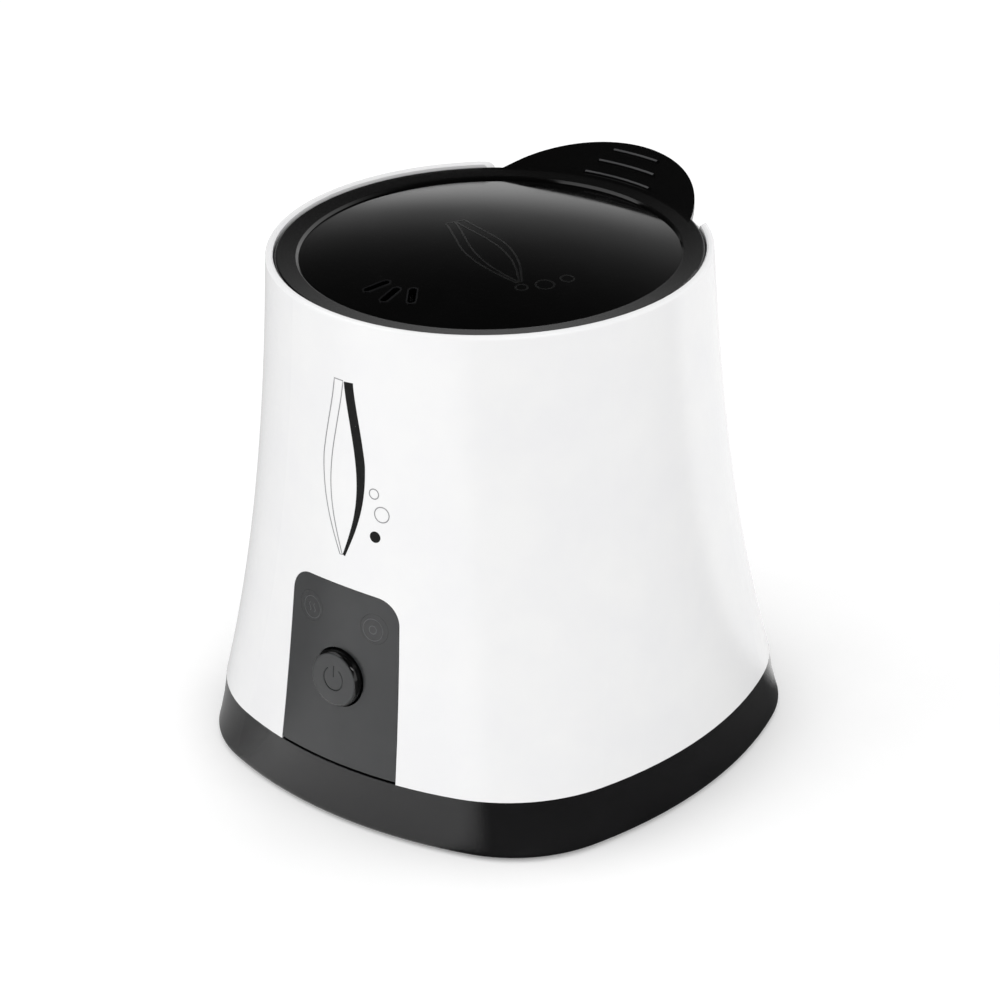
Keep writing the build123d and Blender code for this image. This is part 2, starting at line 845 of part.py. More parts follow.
# Round indicator windows with their light pipes, and the lamps behind them
for side_name, lamp_side in lamp_planes.items():
    lamp_across = math.copysign(lamp_spread, lamp_side.origin.X)
    with BuildPart() as lamp_lens:
        with BuildSketch(lamp_side):
            Circle(lens_radius)
        extrude(amount=-lens_length)
        extrude(
            lamp_lens.faces().sort_by(Axis(lamp_side.origin, lamp_side.z_dir))[-1],
            amount=overrun,
        )
        add(outer_form, mode=Mode.INTERSECT)
    lamp_lens.part.label = f"lamp_lens_{side_name}"
    export_step(lamp_lens.part, f"parts/lamp_lens_{side_name}.step")
    with BuildPart() as lamp:
        with BuildSketch(lamp_board_plane.offset(-board_depth)):
            with Locations((lamp_across, 0)):
                Circle(led_collar_radius)
        extrude(amount=led_collar_height)
        with BuildSketch(lamp_board_plane.offset(-board_depth)):
            with Locations((lamp_across, 0)):
                Circle(led_radius)
        extrude(amount=led_length)
        fillet(lamp.edges().group_by(lamp_axis)[-1], led_dome)
    lamp.part.label = f"lamp_{side_name}"
    export_step(lamp.part, f"parts/lamp_{side_name}.step")

# Posts that carry the deck from the tray floor
for post_name, post_place in zip(post_names, deck_posts):
    with BuildPart() as deck_post:
        with BuildSketch(Plane.XY.offset(floor_top)):
            with Locations(post_place):
                Circle(post_radius)
        extrude(amount=deck_bottom - floor_top)
        with BuildSketch(Plane.XY.offset(floor_top)):
            with Locations(post_place):
                Circle(screw_radius + slide_gap)
        extrude(amount=post_bore, mode=Mode.SUBTRACT)
        with BuildSketch(Plane.XY.offset(deck_bottom)):
            with Locations(post_place):
                Circle(screw_radius + slide_gap)
        extrude(amount=-post_bore, mode=Mode.SUBTRACT)
    deck_post.part.label = post_name
    export_step(deck_post.part, f"parts/{post_name}.step")

with BuildPart() as post_screws:
    with BuildSketch(Plane.XY.offset(tray_bottom + counterbore_depth)):
        with Locations(*deck_posts):
            Circle(screw_head_radius)
    extrude(amount=-screw_head_height)
    with BuildSketch(Plane.XY.offset(tray_bottom + counterbore_depth)):
        with Locations(*deck_posts):
            Circle(screw_radius)
    extrude(amount=deck_screw_length)
    with BuildSketch(Plane.XY.offset(deck_top)):
        with Locations(*deck_posts):
            Circle(screw_head_radius)
    extrude(amount=screw_head_height)
    with BuildSketch(Plane.XY.offset(deck_top)):
        with Locations(*deck_posts):
            Circle(screw_radius)
    extrude(amount=-deck_screw_length)
post_screws.part.label = "post_screws"
export_step(post_screws.part, "parts/post_screws.step")

# Metal deck under the lid
with BuildPart() as deck_plate:
    with BuildSketch(Plane.XY.offset(deck_bottom)):
        Circle(deck_radius)
        Circle(cup_outer + part_gap, mode=Mode.SUBTRACT)
        with Locations(*deck_posts):
            Circle(screw_radius + slide_gap, mode=Mode.SUBTRACT)
        with PolarLocations(cup_screw_circle, cup_screw_count):
            Circle(small_screw_radius + slide_gap, mode=Mode.SUBTRACT)
        with PolarLocations(shield_screw_circle, shield_screw_count, shield_screw_turn):
            Circle(small_screw_radius + slide_gap, mode=Mode.SUBTRACT)
        with Locations(*limit_holes, tag_hole):
            Circle(small_screw_radius + slide_gap, mode=Mode.SUBTRACT)
    extrude(amount=deck_sheet)
deck_plate.part.label = "deck_plate"
export_step(deck_plate.part, "parts/deck_plate.step")

# Seat ring that the lid's flange rests on
with BuildPart() as lid_seat:
    with BuildSketch(Plane.XY.offset(deck_top)):
        Circle(seat_outer)
        Circle(seat_inner, mode=Mode.SUBTRACT)
    extrude(amount=seat_top - deck_top)
    chamfer(lid_seat.edges().group_by(Axis.Z)[-1].sort_by(SortBy.LENGTH)[0], seat_edge)
lid_seat.part.label = "lid_seat"
export_step(lid_seat.part, "parts/lid_seat.step")

# Lid: satin ring round a low dome, with a ribbed finger lift that sweeps up over the rim
with BuildPart() as lid_lift:
    with BuildSketch(Plane.XZ):
        with BuildLine():
            Spline(*[(reach, lid_top + rise) for reach, rise in lift_profile])
            Spline(*[(reach, lid_top + rise - lift_skin) for reach, rise in lift_profile])
            for reach, rise in (lift_profile[0], lift_profile[-1]):
                Line((reach, lid_top + rise), (reach, lid_top + rise - lift_skin))
        make_face()
    revolve(axis=Axis.Z)
    with BuildSketch(Plane.XY.offset(lid_top - lift_skin - overrun)):
        with Locations((0, lift_centre)):
            Circle(lift_radius)
    extrude(amount=lift_skin + 2.0 * overrun + lift_profile[-1][1], mode=Mode.INTERSECT)

with BuildPart() as lift_ribs:
    for rib_step, rib_half in zip(rib_steps, rib_half_angles):
        with BuildSketch(Plane.XY.offset(lid_top - lift_skin)):
            with BuildLine():
                CenterArc((0, 0), lid_radius + rib_step, 90.0 - rib_half, 2.0 * rib_half)
            trace(line_width=rib_width)
        extrude(amount=2.0 * lift_skin + lift_profile[-1][1])
    with BuildSketch(Plane.XZ):
        with BuildLine():
            Spline(*[(reach, lid_top + rise + rib_rise) for reach, rise in lift_profile])
            Spline(*[(reach, lid_top + rise - lift_skin / 2.0) for reach, rise in lift_profile])
            for reach, rise in (lift_profile[0], lift_profile[-1]):
                Line((reach, lid_top + rise + rib_rise), (reach, lid_top + rise - lift_skin / 2.0))
        make_face()
    revolve(axis=Axis.Z, mode=Mode.INTERSECT)

with BuildPart() as lid:
    with BuildSketch(Plane.XZ):
        with BuildLine():
            TangentArc((0, dome_top), (dome_radius, dome_foot), tangent=(1, 0))
            Polyline(
                (dome_radius, dome_foot),
                (ring_inner, lid_top - ring_fall),
                (lid_radius, lid_top),
                (lid_radius, lid_top - lid_flange),
                (guide_outer, lid_top - lid_flange),
                (guide_outer, lid_top - lid_flange - guide_depth),
                (guide_inner, lid_top - lid_flange - guide_depth),
                (guide_inner, lid_top - lid_flange),
                (dome_radius, lid_top - lid_flange),
            )
            TangentArc(
                (0, dome_top - lid_skin),
                (dome_radius, lid_top - lid_flange),
                tangent=(1, 0),
            )
            Line((0, dome_top - lid_skin), (0, dome_top))
        make_face()
        fillet(vertices().group_by(Axis.X)[-1], lid_edge)
        fillet(vertices().sort_by_distance((ring_inner, lid_top - ring_fall))[0], ring_round)
    revolve(axis=Axis.Z)
    add(lid_lift.part)
    add(lift_ribs.part)
    for slot_x, slot_y, slot_turn in slot_places:
        with BuildSketch(Plane.XY.offset(dome_top)):
            with Locations((slot_x, slot_y)):
                SlotOverall(slot_length, slot_width, rotation=slot_turn)
        extrude(amount=-dome_rise - lid_flange, mode=Mode.SUBTRACT)
lid.part.label = "lid"
export_step(lid.part, "parts/lid.step")

# Bead cup hanging in the deck by its flange
with BuildPart() as bead_cup:
    with BuildSketch(Plane.XY.offset(cup_floor_top - cup_floor)):
        Circle(cup_outer)
    extrude(amount=deck_top - cup_floor_top + cup_floor)
    fillet(bead_cup.edges().group_by(Axis.Z)[0], cup_foot_round)
    with BuildSketch(Plane.XY.offset(deck_top)):
        Circle(cup_flange_radius)
    extrude(amount=cup_flange)
    with BuildSketch(Plane.XY.offset(cup_floor_top)):
        Circle(cup_inner)
    extrude(amount=deck_top + cup_flange - cup_floor_top, mode=Mode.SUBTRACT)
    chamfer(bead_cup.edges().group_by(Axis.Z)[-1].sort_by(SortBy.LENGTH)[0], cup_mouth_chamfer)
    with BuildSketch(Plane.XY.offset(deck_top)):
        with PolarLocations(cup_screw_circle, cup_screw_count):
            Circle(small_screw_radius + slide_gap)
    extrude(amount=cup_flange, mode=Mode.SUBTRACT)
bead_cup.part.label = "bead_cup"
export_step(bead_cup.part, "parts/bead_cup.step")

with BuildPart() as cup_screws:
    with BuildSketch(Plane.XY.offset(deck_top + cup_flange)):
        with PolarLocations(cup_screw_circle, cup_screw_count):
            Circle(pan_head_radius)
    extrude(amount=pan_head_height)
    fillet(cup_screws.edges().group_by(Axis.Z)[-1], pan_head_round)
    with BuildSketch(Plane.XY.offset(deck_top + cup_flange)):
        with PolarLocations(cup_screw_circle, cup_screw_count):
            Circle(small_screw_radius)
    extrude(amount=-small_screw_length)
cup_screws.part.label = "cup_screws"
export_step(cup_screws.part, "parts/cup_screws.step")

# Bed of glass beads as one plain fill
with BuildPart() as glass_beads:
    with BuildSketch(Plane.XY.offset(cup_floor_top)):
        Circle(cup_inner - slide_gap)
    extrude(amount=bead_level - cup_floor_top)
    fillet(glass_beads.edges().group_by(Axis.Z)[-1], bead_round)
glass_beads.part.label = "glass_beads"
export_step(glass_beads.part, "parts/glass_beads.step")

# Split band heater clamped round the cup, with its two connection lugs
with BuildPart() as heater_band:
    with BuildSketch(Plane.XY.offset(heater_low)):
        Circle(heater_outer)
    extrude(amount=heater_high - heater_low)
    with BuildSketch(Plane.XY.offset(ear_low)):
        with Locations(((cup_outer + ear_reach) / 2.0, 0)):
            Rectangle(ear_reach - cup_outer, heater_split + 2.0 * ear_sheet)
    extrude(amount=ear_high - ear_low)
    with BuildSketch(Plane.XY.offset(heater_middle - lug_height / 2.0)):
        with Locations(((cup_outer + lug_reach) / 2.0, -lug_y), ((cup_outer + lug_reach) / 2.0, lug_y)):
            Rectangle(lug_reach - cup_outer, lug_width)
    extrude(amount=lug_height)
    with BuildSketch(Plane.XY.offset(heater_low)):
        Circle(cup_outer + slide_gap)
        with Locations(((cup_inner + ear_reach) / 2.0, 0)):
            Rectangle(ear_reach - cup_inner + overrun, heater_split)
    extrude(amount=heater_high - heater_low, mode=Mode.SUBTRACT)
    with BuildSketch(Plane.XZ.offset(-heater_split)):
        with Locations((clamp_x, heater_middle)):
            Circle(clamp_screw_radius + slide_gap)
    extrude(amount=2.0 * heater_split, mode=Mode.SUBTRACT)
heater_band.part.label = "heater_band"
export_step(heater_band.part, "parts/heater_band.step")

with BuildPart() as clamp_screw:
    with BuildSketch(Plane.XZ.offset(clamp_face)):
        with Locations((clamp_x, heater_middle)):
            Circle(clamp_head_radius)
    extrude(amount=clamp_head_height)
    with BuildSketch(Plane.XZ.offset(clamp_face)):
        with Locations((clamp_x, heater_middle)):
            Circle(clamp_screw_radius)
    extrude(amount=-2.0 * clamp_face - nut_height - clamp_tail)
clamp_screw.part.label = "clamp_screw"
export_step(clamp_screw.part, "parts/clamp_screw.step")

with BuildPart() as clamp_nut:
    with BuildSketch(Plane.XZ.offset(-clamp_face)):
        with Locations((clamp_x, heater_middle)):
            RegularPolygon(nut_across / 2.0, 6, major_radius=False)
            Circle(clamp_screw_radius + slide_gap, mode=Mode.SUBTRACT)
    extrude(amount=-nut_height)
clamp_nut.part.label = "clamp_nut"
export_step(clamp_nut.part, "parts/clamp_nut.step")

# Insulation: a disc under the cup and a sleeve round the heater, open towards the leads
with BuildPart() as insulation_disc:
    with BuildSketch(Plane.XY.offset(shield_bottom + shield_sheet)):
        Circle(sleeve_outer)
    extrude(amount=sleeve_bottom - shield_bottom - shield_sheet)
insulation_disc.part.label = "insulation_disc"
export_step(insulation_disc.part, "parts/insulation_disc.step")

with BuildPart() as insulation_sleeve:
    with BuildSketch(Plane.XY.offset(sleeve_bottom)):
        Circle(sleeve_outer)
        Circle(sleeve_inner, mode=Mode.SUBTRACT)
    extrude(amount=sleeve_top - sleeve_bottom)
    with BuildSketch(Plane.XY.offset(window_low)):
        with Locations((sleeve_outer, 0)):
            Rectangle(sleeve_outer, 2.0 * sleeve_window)
    extrude(amount=window_high - window_low, mode=Mode.SUBTRACT)
insulation_sleeve.part.label = "insulation_sleeve"
export_step(insulation_sleeve.part, "parts/insulation_sleeve.step")

# Sheet heat shield screwed up under the deck
with BuildPart() as heat_shield:
    with BuildSketch(Plane.XY.offset(shield_bottom)):
        Circle(shield_outer)
    extrude(amount=deck_bottom - shield_bottom)
    with BuildSketch(Plane.XY.offset(deck_bottom)):
        Circle(shield_flange_radius)
    extrude(amount=-shield_sheet)
    with BuildSketch(Plane.XY.offset(shield_bottom + shield_sheet)):
        Circle(shield_outer - shield_sheet)
    extrude(amount=deck_bottom - shield_bottom - shield_sheet, mode=Mode.SUBTRACT)
    with BuildSketch(Plane.XY.offset(window_low)):
        with Locations((shield_outer, 0)):
            Rectangle(shield_outer, 2.0 * shield_window)
    extrude(amount=window_high - window_low, mode=Mode.SUBTRACT)
    with BuildSketch(Plane.XY.offset(deck_bottom)):
        with PolarLocations(shield_screw_circle, shield_screw_count, shield_screw_turn):
            Circle(small_screw_radius + slide_gap)
    extrude(amount=-shield_sheet, mode=Mode.SUBTRACT)
heat_shield.part.label = "heat_shield"
export_step(heat_shield.part, "parts/heat_shield.step")

with BuildPart() as shield_screws:
    with BuildSketch(Plane.XY.offset(deck_bottom - shield_sheet)):
        with PolarLocations(shield_screw_circle, shield_screw_count, shield_screw_turn):
            Circle(pan_head_radius)
    extrude(amount=-pan_head_height)
    fillet(shield_screws.edges().group_by(Axis.Z)[0], pan_head_round)
    with BuildSketch(Plane.XY.offset(deck_bottom - shield_sheet)):
        with PolarLocations(shield_screw_circle, shield_screw_count, shield_screw_turn):
            Circle(small_screw_radius)
    extrude(amount=shield_sheet + deck_sheet)
shield_screws.part.label = "shield_screws"
export_step(shield_screws.part, "parts/shield_screws.step")

# Snap limit switch under the deck beside the shield
with BuildPart() as limit_switch:
    with BuildSketch(Plane.XY.offset(deck_bottom)):
        with Locations((limit_x, 0)):
            SlotOverall(2.0 * limit_flange_half, limit_flange_width, rotation=90)
            Circle(limit_radius)
            for hole_x, hole_y in limit_holes:
                with Locations((0, hole_y)):
                    Circle(small_screw_radius + slide_gap, mode=Mode.SUBTRACT)
    extrude(amount=-limit_flange)
    with BuildSketch(Plane.XY.offset(deck_bottom - limit_flange)):
        with Locations((limit_x, 0)):
            Circle(limit_radius)
    extrude(amount=-limit_height + limit_flange)
    fillet(limit_switch.edges().group_by(Axis.Z)[0], limit_round)
    with BuildSketch(Plane.XY.offset(deck_bottom - limit_height)):
        with Locations((limit_x, -limit_leg_y), (limit_x, limit_leg_y)):
            Rectangle(limit_leg_width, limit_leg_sheet)
    extrude(amount=-limit_leg)
limit_switch.part.label = "limit_switch"
export_step(limit_switch.part, "parts/limit_switch.step")

with BuildPart() as limit_screws:
    with BuildSketch(Plane.XY.offset(deck_bottom - limit_flange)):
        with Locations(*limit_holes):
            Circle(pan_head_radius)
    extrude(amount=-pan_head_height)
    fillet(limit_screws.edges().group_by(Axis.Z)[0], pan_head_round)
    with BuildSketch(Plane.XY.offset(deck_bottom - limit_flange)):
        with Locations(*limit_holes):
            Circle(small_screw_radius)
    extrude(amount=limit_flange + deck_sheet)
limit_screws.part.label = "limit_screws"
export_step(limit_screws.part, "parts/limit_screws.step")

# Earth tag under the deck
with BuildPart() as earth_tag:
    with BuildSketch(Plane.XY.offset(deck_bottom)):
        with Locations((tag_x, 0)):
            SlotOverall(tag_length, tag_width, rotation=90)
        with Locations(tag_hole):
            Circle(small_screw_radius + slide_gap, mode=Mode.SUBTRACT)
    extrude(amount=-tag_sheet)
earth_tag.part.label = "earth_tag"
export_step(earth_tag.part, "parts/earth_tag.step")

with BuildPart() as earth_screw:
    with BuildSketch(Plane.XY.offset(deck_bottom - tag_sheet)):
        with Locations(tag_hole):
            Circle(pan_head_radius)
    extrude(amount=-pan_head_height)
    fillet(earth_screw.edges().group_by(Axis.Z)[0], pan_head_round)
    with BuildSketch(Plane.XY.offset(deck_bottom - tag_sheet)):
        with Locations(tag_hole):
            Circle(small_screw_radius)
    extrude(amount=tag_sheet + deck_sheet)
earth_screw.part.label = "earth_screw"
export_step(earth_screw.part, "parts/earth_screw.step")

# Terminal block on the tray floor
with BuildPart() as terminal_block:
    with BuildSketch(Plane.XY.offset(floor_top)):
        with Locations((0, block_centre_y)):
            Rectangle(block_length, 2.0 * block_half_y)
    extrude(amount=block_height)
    chamfer(terminal_block.edges().group_by(Axis.Z)[-1], block_edge)
    with BuildSketch(Plane.XY.offset(floor_top + block_neck)):
        with Locations((-block_screw_x, block_centre_y), (block_screw_x, block_centre_y)):
            Circle(pan_head_radius + part_gap)
    extrude(amount=block_height, mode=Mode.SUBTRACT)
    with BuildSketch(Plane.XY.offset(floor_top)):
        with Locations((-block_screw_x, block_centre_y), (block_screw_x, block_centre_y)):
            Circle(small_screw_radius + slide_gap)
    extrude(amount=block_neck, mode=Mode.SUBTRACT)
    with BuildSketch(Plane.XY.offset(floor_top + block_height)):
        with Locations((0, block_centre_y)):
            with GridLocations(block_pitch, block_half_y, block_poles, 2):
                Circle(driver_radius)
    extrude(amount=-driver_depth, mode=Mode.SUBTRACT)
terminal_block.part.label = "terminal_block"
export_step(terminal_block.part, "parts/terminal_block.step")

with BuildPart() as block_screws:
    with BuildSketch(Plane.XY.offset(floor_top + block_neck)):
        with Locations((-block_screw_x, block_centre_y), (block_screw_x, block_centre_y)):
            Circle(pan_head_radius)
    extrude(amount=pan_head_height)
    fillet(block_screws.edges().group_by(Axis.Z)[-1], pan_head_round)
    with BuildSketch(Plane.XY.offset(floor_top + block_neck)):
        with Locations((-block_screw_x, block_centre_y), (block_screw_x, block_centre_y)):
            Circle(small_screw_radius)
    extrude(amount=-small_screw_length)
block_screws.part.label = "block_screws"
export_step(block_screws.part, "parts/block_screws.step")

# Mains inlet at the back: flanged socket, its three pins and its two screws
with BuildPart() as mains_inlet:
    with BuildSketch(inlet_face):
        RectangleRounded(2.0 * inlet_flange_half_x, 2.0 * inlet_flange_half_z, inlet_flange_round)
        with Locations((-inlet_screw_x, 0), (inlet_screw_x, 0)):
            Circle(small_screw_radius + slide_gap, mode=Mode.SUBTRACT)
    extrude(amount=inlet_flange)
    with BuildSketch(inlet_face):
        Rectangle(2.0 * inlet_body_half_x, 2.0 * inlet_body_half_z)
        chamfer(vertices().group_by(Axis.Y)[-1], inlet_body_cut)
    extrude(amount=-inlet_body_depth)
    with BuildSketch(inlet_face.offset(inlet_flange)):
        Rectangle(2.0 * socket_half_x, 2.0 * socket_half_z)
        chamfer(vertices().group_by(Axis.Y)[-1], socket_cut)
    extrude(amount=-socket_depth, mode=Mode.SUBTRACT)
    with BuildSketch(inlet_face.offset(inlet_flange - socket_depth)):
        with Locations(*pin_places):
            Rectangle(pin_width + slide_gap, pin_thickness + slide_gap)
    extrude(amount=-inlet_body_depth, mode=Mode.SUBTRACT)
mains_inlet.part.label = "mains_inlet"
export_step(mains_inlet.part, "parts/mains_inlet.step")

with BuildPart() as inlet_pins:
    with BuildSketch(inlet_face.offset(inlet_flange - socket_depth)):
        with Locations(*pin_places):
            Rectangle(pin_width, pin_thickness)
    extrude(amount=pin_length)
    with BuildSketch(inlet_face.offset(inlet_flange - socket_depth)):
        with Locations(*pin_places):
            Rectangle(pin_width, pin_thickness)
    extrude(amount=-inlet_body_depth - inlet_flange + socket_depth)
    with BuildSketch(inlet_face.offset(-inlet_body_depth)):
        with Locations(*pin_places):
            Rectangle(blade_sheet, blade_width)
    extrude(amount=-blade_length)
inlet_pins.part.label = "inlet_pins"
export_step(inlet_pins.part, "parts/inlet_pins.step")

with BuildPart() as inlet_screws:
    with BuildSketch(inlet_face.offset(inlet_flange)):
        with Locations((-inlet_screw_x, 0), (inlet_screw_x, 0)):
            Circle(inlet_head_radius)
    extrude(amount=inlet_head_height)
    fillet(inlet_screws.edges().group_by(Axis.Y)[-1], pan_head_round)
    with BuildSketch(inlet_face.offset(inlet_flange)):
        with Locations((-inlet_screw_x, 0), (inlet_screw_x, 0)):
            Circle(small_screw_radius)
    extrude(amount=-inlet_flange - inlet_plate_sheet - inlet_boss_depth / 2.0)
inlet_screws.part.label = "inlet_screws"
export_step(inlet_screws.part, "parts/inlet_screws.step")

# Insulated wires between the inlet, the block, the switch, the limit switch and the heater
for wire_name, wire_start, wire_ways, wire_end, start_way, end_way in wire_runs:
    with BuildPart() as wire:
        with BuildLine() as run:
            Spline(wire_start, *wire_ways, wire_end, tangents=(start_way, end_way))
        with BuildSketch(Plane(origin=run.line @ 0, z_dir=run.line % 0)):
            Circle(wire_radius)
        sweep(path=run.line)
    wire.part.label = wire_name
    export_step(wire.part, f"parts/{wire_name}.step")
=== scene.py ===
"""Looks of a tabletop glass bead sterilizer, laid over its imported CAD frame.

Blender lengths are in metres; drawn points and widths are in millimetres until strip() turns them.
"""
import json
import math

import bpy
from mathutils import Matrix, Vector


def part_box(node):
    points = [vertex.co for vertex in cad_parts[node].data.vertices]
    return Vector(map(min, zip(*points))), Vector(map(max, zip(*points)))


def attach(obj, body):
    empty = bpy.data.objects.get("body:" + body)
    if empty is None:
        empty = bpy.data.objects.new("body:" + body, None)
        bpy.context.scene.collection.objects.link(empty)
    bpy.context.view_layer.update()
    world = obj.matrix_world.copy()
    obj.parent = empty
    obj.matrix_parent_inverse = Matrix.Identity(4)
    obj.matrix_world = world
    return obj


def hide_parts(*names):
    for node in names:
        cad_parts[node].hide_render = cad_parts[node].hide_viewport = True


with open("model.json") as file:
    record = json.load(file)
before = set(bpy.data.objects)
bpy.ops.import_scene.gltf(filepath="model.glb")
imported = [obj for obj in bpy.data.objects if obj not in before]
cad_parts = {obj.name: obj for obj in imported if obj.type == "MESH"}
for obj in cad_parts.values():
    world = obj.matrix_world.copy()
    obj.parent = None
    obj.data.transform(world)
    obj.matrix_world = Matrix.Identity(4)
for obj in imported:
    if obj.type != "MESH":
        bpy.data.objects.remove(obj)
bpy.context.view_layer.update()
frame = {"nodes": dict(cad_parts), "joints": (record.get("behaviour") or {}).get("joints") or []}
nodes = frame["nodes"]
bpy.ops.object.select_all(action="DESELECT")

MM = 0.001

# Places read from the frame
bead_low, bead_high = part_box("glass_beads")
button_out = -Vector(frame["joints"][0]["axis"]).normalized()


# Keeps only the given pieces selected, because an operator acts on all that is selected
def select_only(*pieces):
    bpy.ops.object.select_all(action="DESELECT")
    for piece in pieces:
        piece.select_set(True)
    bpy.context.view_layer.objects.active = pieces[0]


def apply_modifiers(piece):
    select_only(piece)
    for modifier in list(piece.modifiers):
        bpy.ops.object.modifier_apply(modifier=modifier.name)


def smooth(piece, degrees=35.0):
    select_only(piece)
    bpy.ops.object.shade_smooth_by_angle(angle=math.radians(degrees))


def joined(name, pieces):
    select_only(*pieces)
    if len(pieces) > 1:
        bpy.ops.object.join()
    whole = bpy.context.view_layer.objects.active
    whole.name = name
    return whole


# A copy of a CAD node whose loose triangles are merged, so that edges can be cut
def merged_copy(node, name):
    piece = nodes[node].copy()
    piece.data = nodes[node].data.copy()
    piece.name = name
    piece.parent = None
    for key in list(piece.keys()):
        del piece[key]
    bpy.context.scene.collection.objects.link(piece)
    select_only(piece)
    if piece.data.has_custom_normals:
        bpy.ops.mesh.customdata_custom_splitnormals_clear()
    bpy.ops.object.mode_set(mode="EDIT")
    bpy.ops.mesh.select_all(action="SELECT")
    bpy.ops.mesh.remove_doubles(threshold=0.002 * MM)
    bpy.ops.object.mode_set(mode="OBJECT")
    return piece


def cut_away(piece, cutter):
    cut = piece.modifiers.new("cut", "BOOLEAN")
    cut.operation = "DIFFERENCE"
    cut.solver = "EXACT"
    cut.object = cutter
    apply_modifiers(piece)
    bpy.data.objects.remove(cutter)


def lay_on(piece, node, axis, offset):
    wrap = piece.modifiers.new("lay", "SHRINKWRAP")
    wrap.target = nodes[node]
    wrap.wrap_method = "PROJECT"
    wrap.use_project_x = axis == "X"
    wrap.use_project_y = axis == "Y"
    wrap.use_project_z = axis == "Z"
    wrap.use_positive_direction = True
    wrap.use_negative_direction = True
    wrap.offset = offset
    wrap.wrap_mode = "ABOVE_SURFACE"
    return wrap


def finish_piece(piece, body, material):
    piece.data.materials.clear()
    piece.data.materials.append(material)
    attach(piece, body)
    return piece


# A hex colour as written on a chart, turned to the linear values that a shader takes
def linear(colour):
    channels = [int(colour[i:i + 2], 16) / 255.0 for i in (1, 3, 5)]
    return tuple(
        c / 12.92 if c <= 0.04045 else ((c + 0.055) / 1.055) ** 2.4 for c in channels
    ) + (1.0,)


# Adds a node: settings are its properties or input values, links name the outputs that feed its inputs
def add_node(tree, kind, settings=None, links=None):
    node = tree.nodes.new(kind)
    for key, value in (settings or {}).items():
        if isinstance(key, int) or key in node.inputs:
            node.inputs[key].default_value = value
        else:
            setattr(node, key, value)
    for key, source in (links or {}).items():
        tree.links.new(source, node.inputs[key])
    return node


def new_material(name):
    material = bpy.data.materials.new(name)
    material.use_nodes = True
    material.node_tree.nodes.clear()
    return material


# A ramp from one hex colour to another, and the places along it where each of them is pure
def two_tones(tree, fac, low, high, start=0.0, end=1.0):
    ramp = add_node(tree, "ShaderNodeValToRGB", {}, {"Fac": fac})
    for stop, position, colour in zip(ramp.color_ramp.elements, (start, end), (low, high)):
        stop.position = position
        stop.color = linear(colour)
    return ramp


def show(tree, shader):
    add_node(tree, "ShaderNodeOutputMaterial", {}, {"Surface": shader.outputs[0]})


# Moulded plastic: cloudy colour, uneven gloss and the fine grain of the mould
def moulded(name, low, high, roughness, spread, grain_mm, grain_depth_mm, ior=1.53, coat=0.0):
    material = new_material(name)
    tree = material.node_tree
    place = add_node(tree, "ShaderNodeTexCoord")
    cloud = add_node(
        tree,
        "ShaderNodeTexNoise",
        {"Scale": 1.0 / (22.0 * MM), "Detail": 3.0, "Roughness": 0.55},
        {"Vector": place.outputs["Object"]},
    )
    colour = two_tones(tree, cloud.outputs["Fac"], low, high, 0.35, 0.65)
    grain = add_node(
        tree,
        "ShaderNodeTexNoise",
        {"Scale": 1.0 / (grain_mm * MM), "Detail": 4.0, "Roughness": 0.6},
        {"Vector": place.outputs["Object"]},
    )
    gloss = add_node(
        tree,
        "ShaderNodeMapRange",
        {"From Min": 0.3, "From Max": 0.7, "To Min": roughness - spread, "To Max": roughness + spread},
        {"Value": grain.outputs["Fac"]},
    )
    bump = add_node(
        tree,
        "ShaderNodeBump",
        {"Strength": 1.0, "Distance": grain_depth_mm * MM},
        {"Height": grain.outputs["Fac"]},
    )
    shader = add_node(
        tree,
        "ShaderNodeBsdfPrincipled",
        {"IOR": ior, "Coat Weight": coat, "Coat Roughness": 0.06},
        {
            "Base Color": colour.outputs["Color"],
            "Roughness": gloss.outputs["Result"],
            "Normal": bump.outputs["Normal"],
        },
    )
    show(tree, shader)
    return material


# Metal: fine lines of rolling or turning along one axis, and a slightly patchy polish
def worked_metal(name, low, high, roughness, line_mm, line_depth_mm, stretch):
    material = new_material(name)
    tree = material.node_tree
    place = add_node(tree, "ShaderNodeTexCoord")
    drawn = add_node(
        tree,
        "ShaderNodeMapping",
        {"Scale": stretch},
        {"Vector": place.outputs["Object"]},
    )
    lines = add_node(
        tree,
        "ShaderNodeTexNoise",
        {"Scale": 1.0 / (line_mm * MM), "Detail": 3.0, "Roughness": 0.6},
        {"Vector": drawn.outputs["Vector"]},
    )
    patches = add_node(
        tree,
        "ShaderNodeTexNoise",
        {"Scale": 1.0 / (9.0 * MM), "Detail": 4.0},
        {"Vector": place.outputs["Object"]},
    )
    colour = two_tones(tree, patches.outputs["Fac"], low, high, 0.3, 0.7)
    gloss = add_node(
        tree,
        "ShaderNodeMapRange",
        {"From Min": 0.3, "From Max": 0.7, "To Min": roughness - 0.06, "To Max": roughness + 0.06},
        {"Value": lines.outputs["Fac"]},
    )
    bump = add_node(
        tree,
        "ShaderNodeBump",
        {"Strength": 1.0, "Distance": line_depth_mm * MM},
        {"Height": lines.outputs["Fac"]},
    )
    shader = add_node(
        tree,
        "ShaderNodeBsdfPrincipled",
        {"Metallic": 1.0},
        {
            "Base Color": colour.outputs["Color"],
            "Roughness": gloss.outputs["Result"],
            "Normal": bump.outputs["Normal"],
        },
    )
    show(tree, shader)
    return material


# Gloss white ABS from a polished mould: an even, clean white with a soft broad sheen
abs_white = moulded("abs_white_polished", "#F3F3F4", "#F6F6F6", 0.24, 0.03, 1.4, 0.004, coat=0.15)
# Polished black ABS of the base tray: near black, with a clear sheen that turns the light side grey
abs_black = moulded("abs_black_polished", "#0C0C0D", "#111112", 0.1, 0.015, 0.9, 0.0001)
